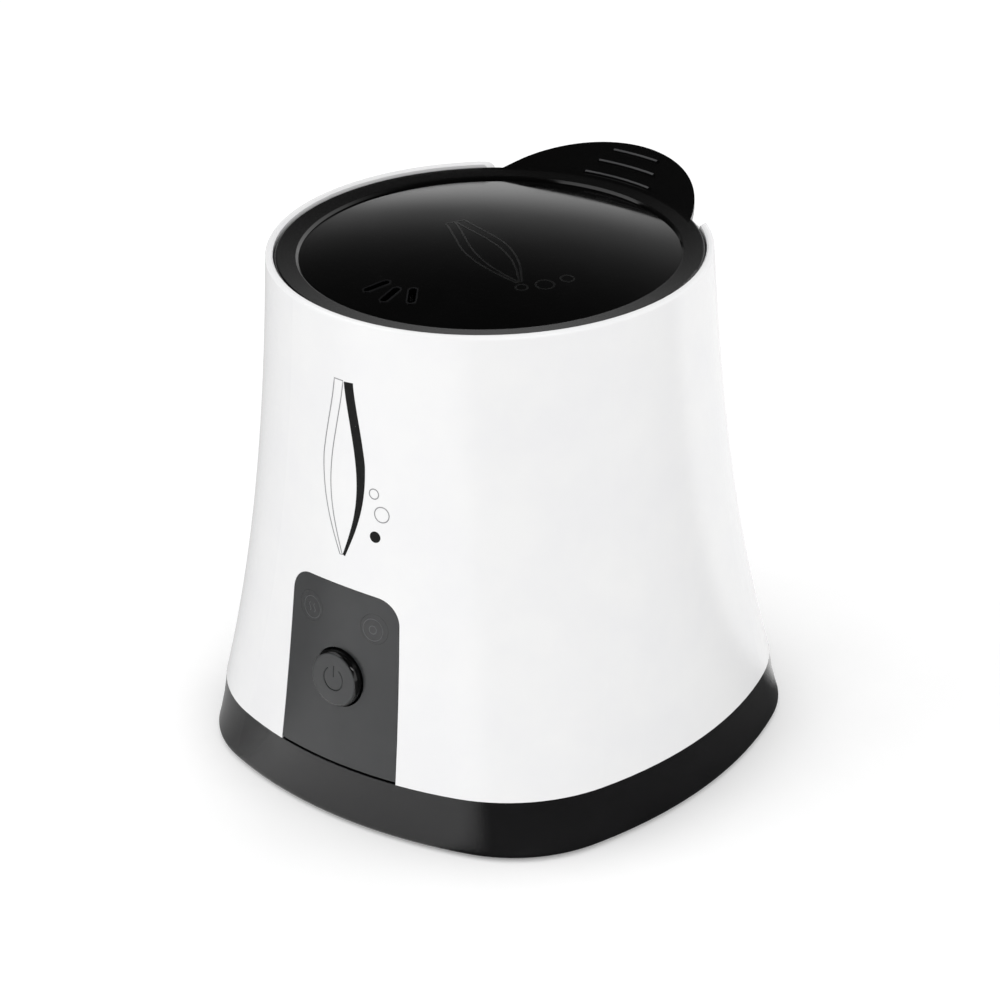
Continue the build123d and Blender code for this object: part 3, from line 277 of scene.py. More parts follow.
# Graphite ABS of the panel, a finely grained flat mould face that reads as dark grey
abs_graphite = moulded("abs_graphite_satin", "#2D2E2F", "#303132", 0.24, 0.02, 0.9, 0.0008)
# Lighter graphite ABS of the button, from a smoother mould than the panel
abs_button = moulded("abs_button_graphite", "#2E2F30", "#343536", 0.24, 0.02, 0.9, 0.0008)
# The same button below its face edge, glossier as from a polished mould, and painted darker as shade
button_side_painted_shade = moulded("abs_button_polished_painted_shade", "#060606", "#0A0A0A", 0.08, 0.02, 0.9, 0.0002)
# Matt black PBT that stands the heat under the lid
pbt_black = moulded("pbt_black_matt", "#151515", "#1C1C1D", 0.5, 0.05, 0.4, 0.006)
# Black nylon of the mains inlet, slightly waxy and grained
nylon_black = moulded("nylon_black", "#121213", "#19191A", 0.42, 0.05, 0.35, 0.006)
# White nylon of the terminal block, milky and a little waxy
nylon_white = moulded("nylon_white", "#E2DFD6", "#EAE7DF", 0.4, 0.04, 0.4, 0.005)
# Brown phenolic of the limit switch, hard with a faint mottle
phenolic = moulded("phenolic_brown", "#2A1B14", "#38251B", 0.35, 0.06, 0.6, 0.006)
# Natural rubber of the feet: dull, dry and slightly dusty grey black
rubber = moulded("rubber_black", "#1B1B1B", "#242424", 0.72, 0.06, 0.5, 0.02, ior=1.52)
# Satin black ABS of the faint picture on the lid, blasted in the mould so that it dulls the shine
abs_lid_satin = moulded("abs_black_blasted", "#070707", "#0B0B0C", 0.3, 0.03, 0.5, 0.002)
# Black ABS of the slot rims, glossy where the mould edge was polished, and painted lighter than the lid
# as a highlight
lid_rim_painted_highlight = moulded("abs_black_rim_painted_highlight", "#141415", "#1A1A1B", 0.14, 0.02, 0.5, 0.001)
# Rib crowns on the lift, painted a lighter grey than the lid as a highlight, which shows as thin pale
# lines
rib_crown_painted_highlight = moulded("abs_black_painted_highlight", "#3E3E3F", "#4A4A4B", 0.42, 0.04, 0.5, 0.001)
# Loose ceramic fibre pressed into a sleeve: chalky white with a woolly grain
fibre = moulded("ceramic_fibre", "#CFCBC0", "#E3E0D8", 0.92, 0.04, 0.9, 0.25, ior=1.45)
# Printing ink on the shell: flat black that sits a little duller than the plastic
ink_black = moulded("screen_ink_black", "#060606", "#0B0B0B", 0.6, 0.04, 0.3, 0.001, ior=1.35)
# Thin grey ink line of the same print
ink_grey = moulded("screen_ink_grey", "#8A8A8C", "#969698", 0.45, 0.04, 0.3, 0.002)
# Pad-printed dark grey of the lamp symbols, barely lighter than the window
ink_symbol = moulded("pad_ink_grey", "#4A4B4C", "#525354", 0.4, 0.04, 0.3, 0.002)
# PVC wire covers: soft, slightly oily plastic in the mains colours
pvc_brown = moulded("pvc_brown", "#5A3320", "#653B27", 0.38, 0.05, 0.6, 0.005)
pvc_blue = moulded("pvc_blue", "#1E4F9A", "#2558A6", 0.38, 0.05, 0.6, 0.005)
# Clear epoxy of the lamps, milky from the diffuser powder in it
epoxy = moulded("epoxy_milky", "#D7DAD6", "#E6E8E4", 0.18, 0.03, 0.8, 0.002, ior=1.55)

# Cold-rolled sheet with zinc on it: blue-grey with rolling lines along X
steel_zinc = worked_metal("steel_zinc_sheet", "#A9ACAF", "#BEC1C3", 0.36, 0.35, 0.004, (0.08, 1.0, 1.0))
# Turned aluminium of the cup: pale metal with rings left by the tool, drawn coarser than real
aluminium = worked_metal("aluminium_turned", "#C9CACC", "#D9DADB", 0.28, 0.4, 0.006, (0.05, 0.05, 1.0))
# Stainless band of the heater, straw tinted by heat in patches
steel_band = worked_metal("steel_band_heated", "#A99F8F", "#BDB6AB", 0.33, 0.3, 0.004, (0.1, 0.1, 1.0))
# Bright zinc on turned screws and posts
steel_screw = worked_metal("steel_zinc_screw", "#B3B5B7", "#C7C8C9", 0.24, 0.25, 0.003, (1.0, 1.0, 0.2))
# Nickelled brass of the pins: warm pale metal with a soft polish
brass = worked_metal("brass_nickelled", "#B9AD92", "#CDC3AD", 0.25, 0.25, 0.003, (1.0, 0.1, 1.0))


# Gloss black ABS of the lid: a mirror-like dome inside a finely grained satin ring, told apart
# by the distance from the lid's middle, where one ends and the other starts
dome_edge = 55.15 * MM
satin_edge = 55.6 * MM


def lid_material():
    material = new_material("abs_black_lid")
    tree = material.node_tree
    place = add_node(tree, "ShaderNodeTexCoord")
    flat = add_node(
        tree,
        "ShaderNodeVectorMath",
        {"operation": "MULTIPLY", 1: (1.0, 1.0, 0.0)},
        {0: place.outputs["Object"]},
    )
    radius = add_node(
        tree, "ShaderNodeVectorMath", {"operation": "LENGTH"}, {0: flat.outputs["Vector"]}
    )
    satin = add_node(
        tree,
        "ShaderNodeMapRange",
        {"From Min": dome_edge, "From Max": satin_edge, "To Min": 0.0, "To Max": 1.0},
        {"Value": radius.outputs["Value"]},
    )
    cloud = add_node(
        tree,
        "ShaderNodeTexNoise",
        {"Scale": 1.0 / (25.0 * MM), "Detail": 3.0},
        {"Vector": place.outputs["Object"]},
    )
    colour = two_tones(tree, cloud.outputs["Fac"], "#020202", "#050505")
    grain = add_node(
        tree,
        "ShaderNodeTexNoise",
        {"Scale": 1.0 / (0.45 * MM), "Detail": 3.0},
        {"Vector": place.outputs["Object"]},
    )
    smear = add_node(
        tree,
        "ShaderNodeTexNoise",
        {"Scale": 1.0 / (14.0 * MM), "Detail": 5.0, "Distortion": 0.6},
        {"Vector": place.outputs["Object"]},
    )
    dome_gloss = add_node(
        tree,
        "ShaderNodeMapRange",
        {"From Min": 0.35, "From Max": 0.75, "To Min": 0.05, "To Max": 0.12},
        {"Value": smear.outputs["Fac"]},
    )
    ring_gloss = add_node(
        tree,
        "ShaderNodeMapRange",
        {"From Min": 0.3, "From Max": 0.7, "To Min": 0.19, "To Max": 0.25},
        {"Value": grain.outputs["Fac"]},
    )
    gloss = add_node(
        tree,
        "ShaderNodeMix",
        {"data_type": "FLOAT"},
        {0: satin.outputs["Result"], 2: dome_gloss.outputs["Result"], 3: ring_gloss.outputs["Result"]},
    )
    depth = add_node(
        tree,
        "ShaderNodeMath",
        {"operation": "MULTIPLY"},
        {0: grain.outputs["Fac"], 1: satin.outputs["Result"]},
    )
    bump = add_node(
        tree,
        "ShaderNodeBump",
        {"Strength": 1.0, "Distance": 0.006 * MM},
        {"Height": depth.outputs["Value"]},
    )
    shader = add_node(
        tree,
        "ShaderNodeBsdfPrincipled",
        {"IOR": 1.53},
        {
            "Base Color": colour.outputs["Color"],
            "Roughness": gloss.outputs[0],
            "Normal": bump.outputs["Normal"],
        },
    )
    show(tree, shader)
    return material


# Smoked acrylic of the lamp windows: dark and clear, a shade deeper than the panel
def smoked_acrylic():
    material = new_material("acrylic_smoked")
    tree = material.node_tree
    place = add_node(tree, "ShaderNodeTexCoord")
    flow = add_node(
        tree,
        "ShaderNodeTexNoise",
        {"Scale": 1.0 / (4.0 * MM), "Detail": 2.0},
        {"Vector": place.outputs["Object"]},
    )
    colour = two_tones(tree, flow.outputs["Fac"], "#2B2C2D", "#2F3031")
    gloss = add_node(
        tree,
        "ShaderNodeMapRange",
        {"From Min": 0.3, "From Max": 0.7, "To Min": 0.2, "To Max": 0.26},
        {"Value": flow.outputs["Fac"]},
    )
    shader = add_node(
        tree,
        "ShaderNodeBsdfPrincipled",
        {"IOR": 1.49, "Coat Weight": 0.2, "Coat Roughness": 0.1},
        {"Base Color": colour.outputs["Color"], "Roughness": gloss.outputs["Result"]},
    )
    show(tree, shader)
    return material


# Soda-lime glass beads: clear, round and bright, with a faint green cast in the pile
def bead_glass():
    material = new_material("glass_soda_lime")
    tree = material.node_tree
    place = add_node(tree, "ShaderNodeTexCoord")
    tint = add_node(
        tree,
        "ShaderNodeTexNoise",
        {"Scale": 1.0 / (5.0 * MM), "Detail": 2.0},
        {"Vector": place.outputs["Object"]},
    )
    colour = two_tones(tree, tint.outputs["Fac"], "#DDE6E1", "#F2F6F4")
    shader = add_node(
        tree,
        "ShaderNodeBsdfPrincipled",
        {"IOR": 1.52, "Transmission Weight": 0.8, "Roughness": 0.08},
        {"Base Color": colour.outputs["Color"]},
    )
    show(tree, shader)
    return material


# Glass-epoxy board: green lacquer over the faint squares of the cloth
def board_lacquer():
    material = new_material("glass_epoxy_board")
    tree = material.node_tree
    place = add_node(tree, "ShaderNodeTexCoord")
    cloth = add_node(
        tree,
        "ShaderNodeTexChecker",
        {"Scale": 1.0 / (0.8 * MM), "Color1": linear("#1D5B34"), "Color2": linear("#22663B")},
        {"Vector": place.outputs["Object"]},
    )
    wear = add_node(
        tree,
        "ShaderNodeTexNoise",
        {"Scale": 1.0 / (3.0 * MM)},
        {"Vector": place.outputs["Object"]},
    )
    gloss = add_node(
        tree,
        "ShaderNodeMapRange",
        {"To Min": 0.22, "To Max": 0.36},
        {"Value": wear.outputs["Fac"]},
    )
    shader = add_node(
        tree,
        "ShaderNodeBsdfPrincipled",
        {"IOR": 1.55},
        {"Base Color": cloth.outputs["Color"], "Roughness": gloss.outputs["Result"]},
    )
    show(tree, shader)
    return material


# Earth wire cover: green PVC with a yellow stripe that winds round it
def earth_cover():
    material = new_material("pvc_green_yellow")
    tree = material.node_tree
    place = add_node(tree, "ShaderNodeTexCoord")
    stripe = add_node(
        tree,
        "ShaderNodeTexWave",
        {
            "wave_type": "BANDS",
            "bands_direction": "DIAGONAL",
            "Scale": 1.0 / (28.0 * MM),
            "Distortion": 0.4,
        },
        {"Vector": place.outputs["Object"]},
    )
    colour = two_tones(tree, stripe.outputs["Fac"], "#2E7A35", "#D8C62B", 0.0, 0.6)
    colour.color_ramp.interpolation = "CONSTANT"
    wear = add_node(
        tree,
        "ShaderNodeTexNoise",
        {"Scale": 1.0 / (2.0 * MM)},
        {"Vector": place.outputs["Object"]},
    )
    gloss = add_node(
        tree,
        "ShaderNodeMapRange",
        {"To Min": 0.32, "To Max": 0.46},
        {"Value": wear.outputs["Fac"]},
    )
    shader = add_node(
        tree,
        "ShaderNodeBsdfPrincipled",
        {"IOR": 1.53},
        {"Base Color": colour.outputs["Color"], "Roughness": gloss.outputs["Result"]},
    )
    show(tree, shader)
    return material


abs_lid = lid_material()
acrylic = smoked_acrylic()
glass = bead_glass()
board_green = board_lacquer()
pvc_earth = earth_cover()

node_finish = {
    "body_shell": abs_white,
    "base_tray": abs_black,
    "control_panel": abs_graphite,
    "power_button": abs_button,
    "lid": abs_lid,
    "lid_seat": pbt_black,
    "mains_inlet": nylon_black,
    "lamp_lens_left": acrylic,
    "lamp_lens_right": acrylic,
    "lamp_left": epoxy,
    "lamp_right": epoxy,
    "lamp_board": board_green,
    "terminal_block": nylon_white,
    "limit_switch": phenolic,
    "switch_body": nylon_black,
    "switch_plunger": nylon_white,
    "insulation_disc": fibre,
    "insulation_sleeve": fibre,
    "bead_cup": aluminium,
    "glass_beads": glass,
    "heater_band": steel_band,
    "deck_plate": steel_zinc,
    "heat_shield": steel_zinc,
    "switch_bracket": steel_zinc,
    "earth_tag": brass,
    "inlet_pins": brass,
    "wire_live_in": pvc_brown,
    "wire_switch_feed": pvc_brown,
    "wire_switch_out": pvc_brown,
    "wire_heater_link": pvc_brown,
    "wire_neutral_in": pvc_blue,
    "wire_heater_return": pvc_blue,
    "wire_earth_in": pvc_earth,
    "wire_earth_out": pvc_earth,
}
# What the table doesn't name is a rubber foot or a steel fastener
for node_name, node_object in nodes.items():
    finish = node_finish.get(node_name, rubber if node_name.startswith("foot") else steel_screw)
    node_object.data.materials.clear()
    node_object.data.materials.append(finish)

# Strips are drawn clear of the object, in front of it or above it, and then laid on a node
front_clear = -100.0
top_clear = 165.0
ring_steps = 48


# A flat strip of ink or moulding in the front or top view, with a width for each of its points
def strip(name, points, widths, plane, closed=False):
    count = len(points)
    rows = count if closed else count - 1
    bpy.ops.mesh.primitive_grid_add(x_subdivisions=1, y_subdivisions=rows, size=1.0)
    piece = bpy.context.active_object
    piece.name = name
    for row in range(rows + 1):
        here = Vector(points[row % count])
        before = Vector(points[(row - 1) % count if closed else max(row - 1, 0)])
        after = Vector(points[(row + 1) % count if closed else min(row + 1, count - 1)])
        along = (after - before).normalized()
        across = Vector((-along.y, along.x)) * widths[row % count] / 2.0
        for column, side in ((0, -1.0), (1, 1.0)):
            spot = (here + across * side) * MM
            vertex = piece.data.vertices[row * 2 + column]
            if plane == "front":
                vertex.co = (spot.x, front_clear * MM, spot.y)
            else:
                vertex.co = (spot.x, spot.y, top_clear * MM)
    if closed:
        merge(piece, 0.01)
    return piece


def merge(piece, distance):
    select_only(piece)
    bpy.ops.object.mode_set(mode="EDIT")
    bpy.ops.mesh.select_all(action="SELECT")
    bpy.ops.mesh.remove_doubles(threshold=distance * MM)
    bpy.ops.mesh.normals_make_consistent(inside=False)
    bpy.ops.object.mode_set(mode="OBJECT")


def ring_strip(name, x, y, radius, width, plane):
    turns = [math.tau * step / ring_steps for step in range(ring_steps)]
    points = [(x + radius * math.cos(turn), y + radius * math.sin(turn)) for turn in turns]
    return strip(name, points, [width] * ring_steps, plane, closed=True)


def outline_strip(name, points, width, plane):
    return strip(name, points, [width] * len(points), plane, closed=True)


# One arm of a pair of tweezers from the joined end to the tip, as middle points and widths
def tweezer_arm(side, length, bow, width, steps=40):
    points, widths = [], []
    for step in range(steps + 1):
        share = step / steps
        swell = math.sin(math.pi * share**1.3)
        slim = 1.0 - 0.72 * max(share - 0.45, 0.0) / 0.55
        points.append((side * (0.56 * width * slim + bow * swell), -length * share))
        widths.append(width * slim)
    return points, widths


# Long edges of an arm, for an arm that is drawn as a thin outline
def arm_edges(points, widths):
    left_edge = [(x - width / 2.0, y) for (x, y), width in zip(points, widths)]
    right_edge = [(x + width / 2.0, y) for (x, y), width in zip(points, widths)]
    return left_edge + right_edge[::-1]


# Points turned about their origin and then shifted
def moved(points, x, y, degrees=0.0):
    turn = math.radians(degrees)
    return [
        (x + a * math.cos(turn) - b * math.sin(turn), y + a * math.sin(turn) + b * math.cos(turn))
        for a, b in points
    ]


# Lays strips on a node as one thin closed skin, which takes up this share of its height
skin_share = 0.9


def laid_skin(name, strips, node, axis, proud, body, material):
    piece = joined(name, strips)
    lay_on(piece, node, axis, proud * MM)
    apply_modifiers(piece)
    select_only(piece)
    bpy.ops.object.mode_set(mode="EDIT")
    bpy.ops.mesh.select_all(action="SELECT")
    bpy.ops.mesh.normals_make_consistent(inside=False)
    bpy.ops.object.mode_set(mode="OBJECT")
    outward = Vector((0.0, -1.0, 0.0)) if axis == "Y" else Vector((0.0, 0.0, 1.0))
    inward_faces = [face.normal.dot(outward) < 0.0 for face in piece.data.polygons]
    if any(inward_faces):
        piece.data.polygons.foreach_set("select", inward_faces)
        bpy.ops.object.mode_set(mode="EDIT")
        bpy.ops.mesh.select_mode(type="FACE")
        bpy.ops.mesh.flip_normals()
        bpy.ops.object.mode_set(mode="OBJECT")
    wall = piece.modifiers.new("wall", "SOLIDIFY")
    wall.thickness = proud * skin_share * MM
    wall.offset = -1.0
    apply_modifiers(piece)
    return finish_piece(piece, body, material)


# Print on the front of the shell: tweezers, one arm in outline and one solid, and three beads
print_top = 136.5
print_length = 53.0
print_bow = 4.6
print_width = 3.2
print_line = 0.3
print_proud = 0.05
dot_radius = 0.85
arm_points, arm_widths = tweezer_arm(1.0, print_length, print_bow, print_width)
far_points, far_widths = tweezer_arm(-1.0, print_length, print_bow, print_width)
solid_marks = [
    strip("print_solid", moved(arm_points, 0.0, print_top), arm_widths, "front"),
    ring_strip("print_dot", 11.2, 92.0, dot_radius, 2.0 * dot_radius, "front"),
]
laid_skin(
    "print_black", solid_marks, "body_shell", "Y", print_proud, "housing", ink_black
)
outline = moved(arm_edges(far_points, far_widths), 0.0, print_top)
thin_marks = [
    outline_strip("print_outline", outline, print_line, "front"),
    ring_strip("print_ring", 13.2, 99.2, 2.3, print_line, "front"),
    ring_strip("print_ring_small", 10.6, 105.0, 1.5, print_line, "front"),
]
laid_skin(
    "print_grey", thin_marks, "body_shell", "Y", print_proud, "housing", ink_grey
)

# Faint moulded picture on the dome: tweezers and a few beads, as low as a fingernail can feel
picture_line = 0.6
picture_turn = 62.0
picture_beads = ((31.0, -14.0, 2.6), (33.5, -7.0, 1.9), (27.0, -19.5, 1.7))
picture = []
for side in (-1.0, 1.0):
    points, widths = tweezer_arm(side, 46.0, 3.8, 2.8)
    edges = moved(arm_edges(points, widths), -16.0, 4.0, picture_turn)
    picture.append(outline_strip("picture_arm", edges, picture_line, "top"))
for x, y, radius in picture_beads:
    picture.append(ring_strip("picture_bead", x, y, radius, picture_line, "top"))
laid_skin("lid_picture", picture, "lid", "Z", 0.06, "housing", abs_lid_satin)

# Raised rims round the three air slots in the dome: middle and turn of each slot
slot_places = ((-7.5, -41.2, 70.0), (-0.9, -43.2, 96.0), (4.9, -40.6, 125.0))
slot_half = 3.0
slot_round = 1.35
slot_steps = 36
rim_width = 0.45
rims = []
for slot_x, slot_y, slot_turn in slot_places:
    loop = []
    for step in range(slot_steps):
        turn = math.tau * step / slot_steps
        end = slot_half if math.cos(turn) > 0.0 else -slot_half
        loop.append((end + slot_round * math.cos(turn), slot_round * math.sin(turn)))
    rim_loop = moved(loop, slot_x, slot_y, slot_turn)
    rims.append(outline_strip("slot_rim", rim_loop, rim_width, "top"))
laid_skin("slot_rims", rims, "lid", "Z", 0.22, "housing", lid_rim_painted_highlight)

# Rounded crowns along the three ribs of the finger lift, painted a little lighter than the lid as their
# highlight
rib_radii = (61.9, 66.3, 70.6)
rib_half_turns = (10.9, 8.7, 6.5)
rib_half_steps = 12
crown_width = 0.55
crowns = []
for rib_radius, half_turn in zip(rib_radii, rib_half_turns):
    rib_path = []
    for step in range(2 * rib_half_steps + 1):
        turn = math.radians(half_turn * (step / rib_half_steps - 1.0))
        rib_path.append((rib_radius * math.sin(turn), rib_radius * math.cos(turn)))
    crowns.append(strip("rib_crown", rib_path, [crown_width] * len(rib_path), "top"))
laid_skin("rib_crowns", crowns, "lid", "Z", 0.12, "housing", rib_crown_painted_highlight)

# Signs in the lamp windows: a ring in each, round two rising waves on the left and a small ring
# on the right
window_ring_radius = 3.3
window_ring_line = 0.2
window_line = 0.3
window_dot_radius = 1.2
wave_shift = 0.9
wave_swing = 0.35
wave_height = 2.6
wave_steps = 12
window_proud = 0.03
for side_name in ("left", "right"):
    low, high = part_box(f"lamp_lens_{side_name}")
    middle_x = (low.x + high.x) / 2.0 / MM
    middle_z = (low.z + high.z) / 2.0 / MM
    marks = [
        ring_strip("window_ring", middle_x, middle_z, window_ring_radius, window_ring_line, "front")
    ]
    if side_name == "left":
        for shift in (-wave_shift, wave_shift):
            wave = []
            for step in range(wave_steps + 1):
                share = step / wave_steps
                wave.append(
                    (
                        middle_x + shift + wave_swing * math.sin(share * math.tau),
                        middle_z - wave_height / 2.0 + wave_height * share,
                    )
                )
            marks.append(strip("window_wave", wave, [window_line] * len(wave), "front"))
    else:
        marks.append(
            ring_strip("window_dot", middle_x, middle_z, window_dot_radius, window_line, "front")
        )
    laid_skin(
        f"window_sign_{side_name}",
        marks,
        f"lamp_lens_{side_name}",
        "Y",
        window_proud,
        "housing",
        ink_symbol,
    )

# Middle of a piece's box, pushed out along a direction to the piece's farthest face
def face_middle(piece, direction):
    reach = max(vertex.co.dot(direction) for vertex in piece.data.vertices)
    middle = sum((Vector(corner) for corner in piece.bound_box), Vector()) / 8.0
    return middle + direction * (reach - middle.dot(direction)), reach


# Power button: the CAD form with the on-off sign sunk into its face and a glossy skirt painted darker
# as shade
symbol_radius = 3.5 * MM
symbol_line = 0.45 * MM
symbol_gap = 34.0
symbol_bar = 3.4 * MM
symbol_bar_start = 0.6 * MM
arc_steps = 60
bar_steps = 4
skirt_depth = 0.16 * MM
button = merged_copy("power_button", "power_button_signed")
face_centre, face_depth = face_middle(button, button_out)
sign = bpy.data.curves.new("power_sign", "CURVE")
sign.dimensions = "3D"
sign.bevel_depth = symbol_line / 2.0
sign.bevel_resolution = 3
sign.use_fill_caps = True
face_right = Vector((1.0, 0.0, 0.0))
face_up = button_out.cross(face_right).normalized()
if face_up.z < 0.0:
    face_up = -face_up
arc = []
for step in range(arc_steps + 1):
    turn = math.radians(90.0 + symbol_gap + (360.0 - 2.0 * symbol_gap) * step / arc_steps)
    arc.append(face_centre + symbol_radius * (math.cos(turn) * face_right + math.sin(turn) * face_up))
bar = [
    face_centre + face_up * symbol_bar * step / bar_steps + face_up * symbol_bar_start
    for step in range(bar_steps + 1)
]
for line in (arc, bar):
    spline = sign.splines.new("POLY")
    spline.points.add(len(line) - 1)
    for point, spot in zip(spline.points, line):
        point.co = (*spot, 1.0)
sign_cutter = bpy.data.objects.new("power_sign", sign)
bpy.context.scene.collection.objects.link(sign_cutter)
select_only(sign_cutter)
bpy.ops.object.convert(target="MESH")
sign_cutter = bpy.context.active_object
cut_away(button, sign_cutter)
smooth(button, 30.0)
finish_piece(button, "button", abs_button)
# Faces below the face edge take the darker colour that paints the skirt's shade
button.data.materials.append(button_side_painted_shade)
for face in button.data.polygons:
    below_face = face.center.dot(button_out) < face_depth - skirt_depth
    if below_face and abs(face.normal.dot(button_out)) < 0.97:
        face.material_index = 1
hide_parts("power_button")

# Cross recess in the heads of the screws that can be seen from outside: which way the heads
# face, and the half length and depth of the recess
screw_sets = {
    "tray_screws": (Vector((0.0, 0.0, -1.0)), 1.5, 0.8),
    "post_screws": (Vector((0.0, 0.0, -1.0)), 1.5, 0.8),
    "inlet_screws": (Vector((0.0, 1.0, 0.0)), 1.2, 0.6),
}
blade_width = 0.55
blade_taper = 0.45
blade_turn = 20.0


def recess_cutter(middle, direction, reach, depth):
    blades = []
    for turn in (0.0, 90.0):
        bpy.ops.mesh.primitive_cube_add(size=1.0)
        blade = bpy.context.active_object
        bpy.ops.object.mode_set(mode="EDIT")
        bpy.ops.transform.resize(value=(2.0 * reach * MM, blade_width * MM, 2.0 * depth * MM))
        bpy.ops.object.mode_set(mode="OBJECT")
        for vertex in blade.data.vertices:
            if vertex.co.z < 0.0:
                vertex.co.x *= blade_taper
        spin = Matrix.Rotation(math.radians(turn + blade_turn), 4, "Z")
        lean = direction.to_track_quat("Z", "Y").to_matrix().to_4x4()
        blade.data.transform(Matrix.Translation(middle) @ lean @ spin)
        blades.append(blade)
    return blades


for node_name, (direction, reach, depth) in screw_sets.items():
    set_piece = merged_copy(node_name, f"{node_name}_cross")
    select_only(set_piece)
    bpy.ops.object.mode_set(mode="EDIT")
    bpy.ops.mesh.separate(type="LOOSE")
    bpy.ops.object.mode_set(mode="OBJECT")
    screws = list(bpy.context.selected_objects)
    for screw in screws:
        head_middle, _ = face_middle(screw, direction)
        for blade in recess_cutter(head_middle, direction, reach, depth):
            cut_away(screw, blade)
    whole = joined(f"{node_name}_cross", screws)
    smooth(whole, 35.0)
    finish_piece(whole, "housing", steel_screw)
    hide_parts(node_name)

# Glass beads: loose layers on top of a packed core, each bead drawn a little larger than real
bead_radius = 1.2
bead_layers = 3
core_drop = 5.0
core = merged_copy("glass_beads", "bead_core")
select_only(core)
bpy.ops.object.mode_set(mode="EDIT")
bpy.ops.mesh.select_all(action="SELECT")
core_top = bead_high.z - core_drop * MM
bpy.ops.mesh.bisect(
    plane_co=(0.0, 0.0, core_top), plane_no=(0.0, 0.0, 1.0), clear_outer=True, use_fill=True
)
bpy.ops.object.mode_set(mode="OBJECT")
bpy.ops.mesh.primitive_ico_sphere_add(subdivisions=2, radius=bead_radius * MM)
first_bead = bpy.context.active_object
bead_reach = (bead_high.x - bead_low.x) / 2.0 / MM - bead_radius
beads = []
spacing = 2.0 * bead_radius
layer_rise = spacing * math.sqrt(2.0 / 3.0)
rows = int(bead_reach / (spacing * math.sqrt(0.75))) + 1
for layer in range(bead_layers):
    level_z = bead_high.z / MM - bead_radius - layer * layer_rise
    for row in range(-rows, rows + 1):
        for column in range(-rows, rows + 1):
            x = (column + 0.5 * (row % 2) + 0.5 * (layer % 2)) * spacing
            y = row * spacing * math.sqrt(0.75) + layer % 2 * spacing / math.sqrt(12.0)
            if math.hypot(x, y) > bead_reach:
                continue
            bead = first_bead.copy()
            bead.data = first_bead.data.copy()
            # each bead sinks by its own small amount, worked out from its place
            settle = 0.25 * math.sin(12.9898 * x + 78.233 * y + layer)
            bead.data.transform(Matrix.Translation(Vector((x, y, level_z - abs(settle))) * MM))
            bpy.context.scene.collection.objects.link(bead)
            beads.append(bead)
bpy.data.objects.remove(first_bead)
bead_pile = joined("bead_pile", [core] + beads)
smooth(bead_pile, 60.0)
finish_piece(bead_pile, "housing", glass)
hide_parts("glass_beads")


# Camera at the angle of the photograph
camera_lens = 124.97
camera_distance = 1031.3 * MM
camera_azimuth = math.radians(39.177)
camera_elevation = math.radians(27.075)
camera_roll = math.radians(1.252)
camera_target = Vector((0.0, 0.0, 77.5 * MM))
camera_shift = (0.00513, -0.01567)

back = Vector(
    (
        math.sin(camera_azimuth) * math.cos(camera_elevation),
        -math.cos(camera_azimuth) * math.cos(camera_elevation),
        math.sin(camera_elevation),
    )
)
level = Vector((math.cos(camera_azimuth), math.sin(camera_azimuth), 0.0))
upward = back.cross(level)
right = level * math.cos(camera_roll) - upward * math.sin(camera_roll)
top = level * math.sin(camera_roll) + upward * math.cos(camera_roll)
camera_data = bpy.data.cameras.new("photo_camera")
camera_data.lens = camera_lens
camera_data.sensor_width = 36.0
camera_data.shift_x, camera_data.shift_y = camera_shift
camera_data.clip_start = 0.01
camera_data.clip_end = 100.0
camera = bpy.data.objects.new("photo_camera", camera_data)
bpy.context.scene.collection.objects.link(camera)
camera.matrix_world = Matrix.Translation(camera_target + back * camera_distance) @ Matrix(
    (right, top, back)
).transposed().to_4x4()
bpy.context.scene.camera = camera


# Floor of plain pale paper, which glows a little to the camera and in reflections
floor_half = 6.0
floor_glow = 0.2
bpy.ops.mesh.primitive_plane_add(size=2.0 * floor_half, location=(0.0, 0.0, 0.0))
floor = bpy.context.active_object
floor.name = "studio_floor"
paper = new_material("paper_white")
tree = paper.node_tree
path = add_node(tree, "ShaderNodeLightPath")
seen = add_node(
    tree,
    "ShaderNodeMath",
    {"operation": "MAXIMUM"},
    {0: path.outputs["Is Camera Ray"], 1: path.outputs["Is Glossy Ray"]},
)
seen_all = add_node(
    tree,
    "ShaderNodeMath",
    {"operation": "MAXIMUM"},
    {0: seen.outputs["Value"], 1: path.outputs["Is Transmission Ray"]},
)
place = add_node(tree, "ShaderNodeTexCoord")
fleck = add_node(
    tree, "ShaderNodeTexNoise", {"Scale": 40.0, "Detail": 4.0}, {"Vector": place.outputs["Object"]}
)
tone = two_tones(tree, fleck.outputs["Fac"], "#EDEDED", "#F2F2F2")
matt = add_node(tree, "ShaderNodeBsdfDiffuse", {}, {"Color": tone.outputs["Color"]})
strength = add_node(
    tree, "ShaderNodeMath", {"operation": "MULTIPLY", 1: floor_glow}, {0: seen_all.outputs["Value"]}
)
glow = add_node(
    tree,
    "ShaderNodeEmission",
    {"Color": (1.0, 1.0, 1.0, 1.0)},
    {"Strength": strength.outputs["Value"]},
)
paper_shader = add_node(
    tree, "ShaderNodeAddShader", {}, {0: matt.outputs["BSDF"], 1: glow.outputs["Emission"]}
)
show(tree, paper_shader)
floor.data.materials.append(paper)

